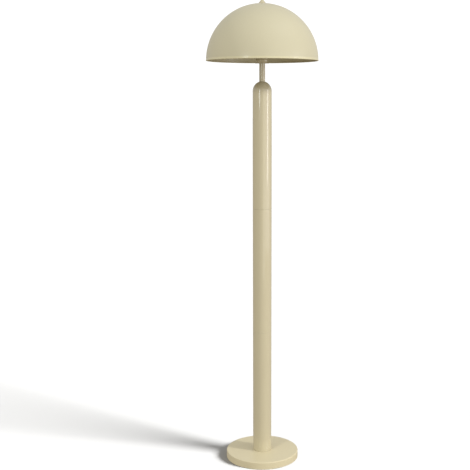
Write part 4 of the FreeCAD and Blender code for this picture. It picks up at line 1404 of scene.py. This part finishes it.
@dataclass(frozen=True)
class FarLight:
    """Even light from far away, which gives the soft shadows and no bright spot in the paint.

    bearing and rise say where it comes from, and spread is the angle that it fills in the sky.
    """

    name: str
    bearing: float
    rise: float
    spread: float
    strength: float
    floor_only: bool = False
    distance: float = 3.0

    def light(self, shown_on: bpy.types.Collection) -> None:
        """Put the light up.

        Args:
            shown_on: What it lights.
        """
        direction = toward(self.bearing, self.rise)
        data = bpy.data.lights.new(self.name, "SUN")
        data.energy = self.strength
        data.angle = math.radians(self.spread)
        sun = bpy.data.objects.new(self.name, data)
        sun.rotation_euler = direction.to_track_quat("Z", "Y").to_euler()
        sun.location = direction * self.distance
        sun.visible_glossy = False
        sun.light_linking.receiver_collection = shown_on
        bpy.context.scene.collection.objects.link(sun)
        LOG.info("%s: strength %.1f", self.name, self.strength)


@dataclass
class Studio:
    """Pale floor, soft lights and the camera."""

    floor_size: float = 120.0
    floor_drop: float = 0.0002        # keeps the floor out of the pad's underside
    upper_room: Colour = (0.6, 0.59, 0.565)
    lower_room: Colour = (0.42, 0.37, 0.3)
    horizon: float = 0.04             # half the band in which one room colour turns into the other
    backdrop: float = 1.1
    camera_distance: float = 2.834
    camera_height: float = 1.1904
    camera_pitch: float = 8.804       # degrees below the level
    frame_pixels: float = 470.0
    focal_pixels: float = 877.36
    shift_pixels: tuple[float, float] = (-27.2, 1.66)
    sensor_width: float = 36.0        # millimetres
    suns: tuple[FarLight, ...] = (
        FarLight("shadow_light", 66.0, 30.0, 20.0, 11.8, floor_only=True),
        FarLight("right_sun", 68.0, 32.0, 5.0, 1.35),
        FarLight("left_sun", -38.0, 32.0, 7.0, 0.7),
    )
    panels: tuple[SoftBox, ...] = (
        SoftBox("right_key", 68.5, 12.0, 0.65, 1.6, (4.2, 4.2, 4.4)),
        *(SoftBox(f"right_broad_{place}", bearing, 21.67, 0.2, 2.1, (0.86, 0.85, 0.9))
          for place, bearing in (("front", 43.33), ("middle", 65.0), ("side", 86.67))),
        SoftBox("left_front_box", -32.0, 11.0, 1.15, 1.85, (5.0, 5.4, 5.6)),
        SoftBox("front_fill", 20.0, 20.0, 0.0, 2.1, (1.0, 1.0, 0.9)),
        SoftBox("high_fill", 60.0, 29.86, 0.2, 1.8, (0.1, 0.15, 0.3), rise=55.0),
    )

    def build(self) -> None:
        """Lay the floor, put up the lights and set the camera."""
        floor = self.lay_floor()
        self.light_room()
        lamp_only = self.receivers("lit_without_floor", floor, "EXCLUDE")
        for panel in self.panels:
            panel.light(lamp_only)
        for sun in self.suns:
            sun.light(self.receivers("lit_floor", floor, "INCLUDE") if sun.floor_only else lamp_only)
        self.set_camera()

    def lay_floor(self) -> bpy.types.Object:
        """Wide pale floor under the lamp, which shows the shadow.

        Returns:
            The floor.
        """
        bpy.ops.object.select_all(action="DESELECT")
        bpy.ops.mesh.primitive_grid_add(x_subdivisions=8, y_subdivisions=8, size=self.floor_size,
                                        location=(0.0, 0.0, -self.floor_drop))
        floor = bpy.context.object
        Bench.settle(floor)
        floor.name = "studio_floor"
        floor.data.materials.append(PALE_FLOOR.material())
        floor.visible_diffuse = False
        floor.visible_glossy = False
        return floor

    def receivers(self, name: str, floor: bpy.types.Object, state: str) -> bpy.types.Collection:
        """Group that says what a light falls on.

        Args:
            name: Name of the group.
            floor: The floor.
            state: INCLUDE for the floor alone, or EXCLUDE for everything else.

        Returns:
            The group.
        """
        group = bpy.data.collections.new(name)
        group.objects.link(floor)
        group.collection_objects[0].light_linking.link_state = state
        return group

    def light_room(self) -> None:
        """Even light from the room, less of it from below, with a white backdrop for the camera."""
        world = bpy.data.worlds.new("studio_room")
        world.use_nodes = True
        tree = world.node_tree
        tree.nodes.clear()
        height = tree.nodes.new("ShaderNodeSeparateXYZ")
        tree.links.new(tree.nodes.new("ShaderNodeTexCoord").outputs["Generated"], height.inputs["Vector"])
        shade = tree.nodes.new("ShaderNodeMapRange")
        shade.inputs["From Min"].default_value = -self.horizon
        shade.inputs["From Max"].default_value = self.horizon
        tree.links.new(height.outputs["Z"], shade.inputs["Value"])
        walls = tree.nodes.new("ShaderNodeMix")
        walls.data_type = "RGBA"
        walls.inputs["A"].default_value = (*self.lower_room, 1.0)
        walls.inputs["B"].default_value = (*self.upper_room, 1.0)
        tree.links.new(shade.outputs["Result"], walls.inputs["Factor"])
        room = tree.nodes.new("ShaderNodeBackground")
        tree.links.new(walls.outputs["Result"], room.inputs["Color"])
        backdrop = tree.nodes.new("ShaderNodeBackground")
        backdrop.inputs["Color"].default_value = (1.0, 1.0, 1.0, 1.0)
        backdrop.inputs["Strength"].default_value = self.backdrop
        path = tree.nodes.new("ShaderNodeLightPath")
        mix = tree.nodes.new("ShaderNodeMixShader")
        out = tree.nodes.new("ShaderNodeOutputWorld")
        tree.links.new(path.outputs["Is Camera Ray"], mix.inputs["Fac"])
        tree.links.new(room.outputs["Background"], mix.inputs[1])
        tree.links.new(backdrop.outputs["Background"], mix.inputs[2])
        tree.links.new(mix.outputs["Shader"], out.inputs["Surface"])
        bpy.context.scene.world = world

    def set_camera(self) -> None:
        """Camera in front of the lamp, looking a little down, its frame moved sideways."""
        data = bpy.data.cameras.new("front_camera")
        data.sensor_width = self.sensor_width
        data.lens = self.focal_pixels / self.frame_pixels * self.sensor_width
        data.shift_x, data.shift_y = (pixels / self.frame_pixels for pixels in self.shift_pixels)
        camera = bpy.data.objects.new("front_camera", data)
        camera.location = (0.0, -self.camera_distance, self.camera_height)
        camera.rotation_euler = (math.radians(90.0 - self.camera_pitch), 0.0, 0.0)
        bpy.context.scene.collection.objects.link(camera)
        bpy.context.scene.camera = camera
        bpy.context.scene.view_settings.view_transform = "Standard"


def main() -> None:
    """Build every sub-assembly in order, then the studio."""
    logging.basicConfig(level=logging.INFO, format="%(name)s: %(message)s")
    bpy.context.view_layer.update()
    for assembly in (Base(), Column(), Neck(), Lampholder(), Bulb(), Harp(), Shade(), Finial()):
        assembly.build()
        LOG.info("%s done", type(assembly).__name__)
    paint_node("internal_lead", LEAD_SHEATH)
    Studio().build()


if __name__ == "__main__":
    main()
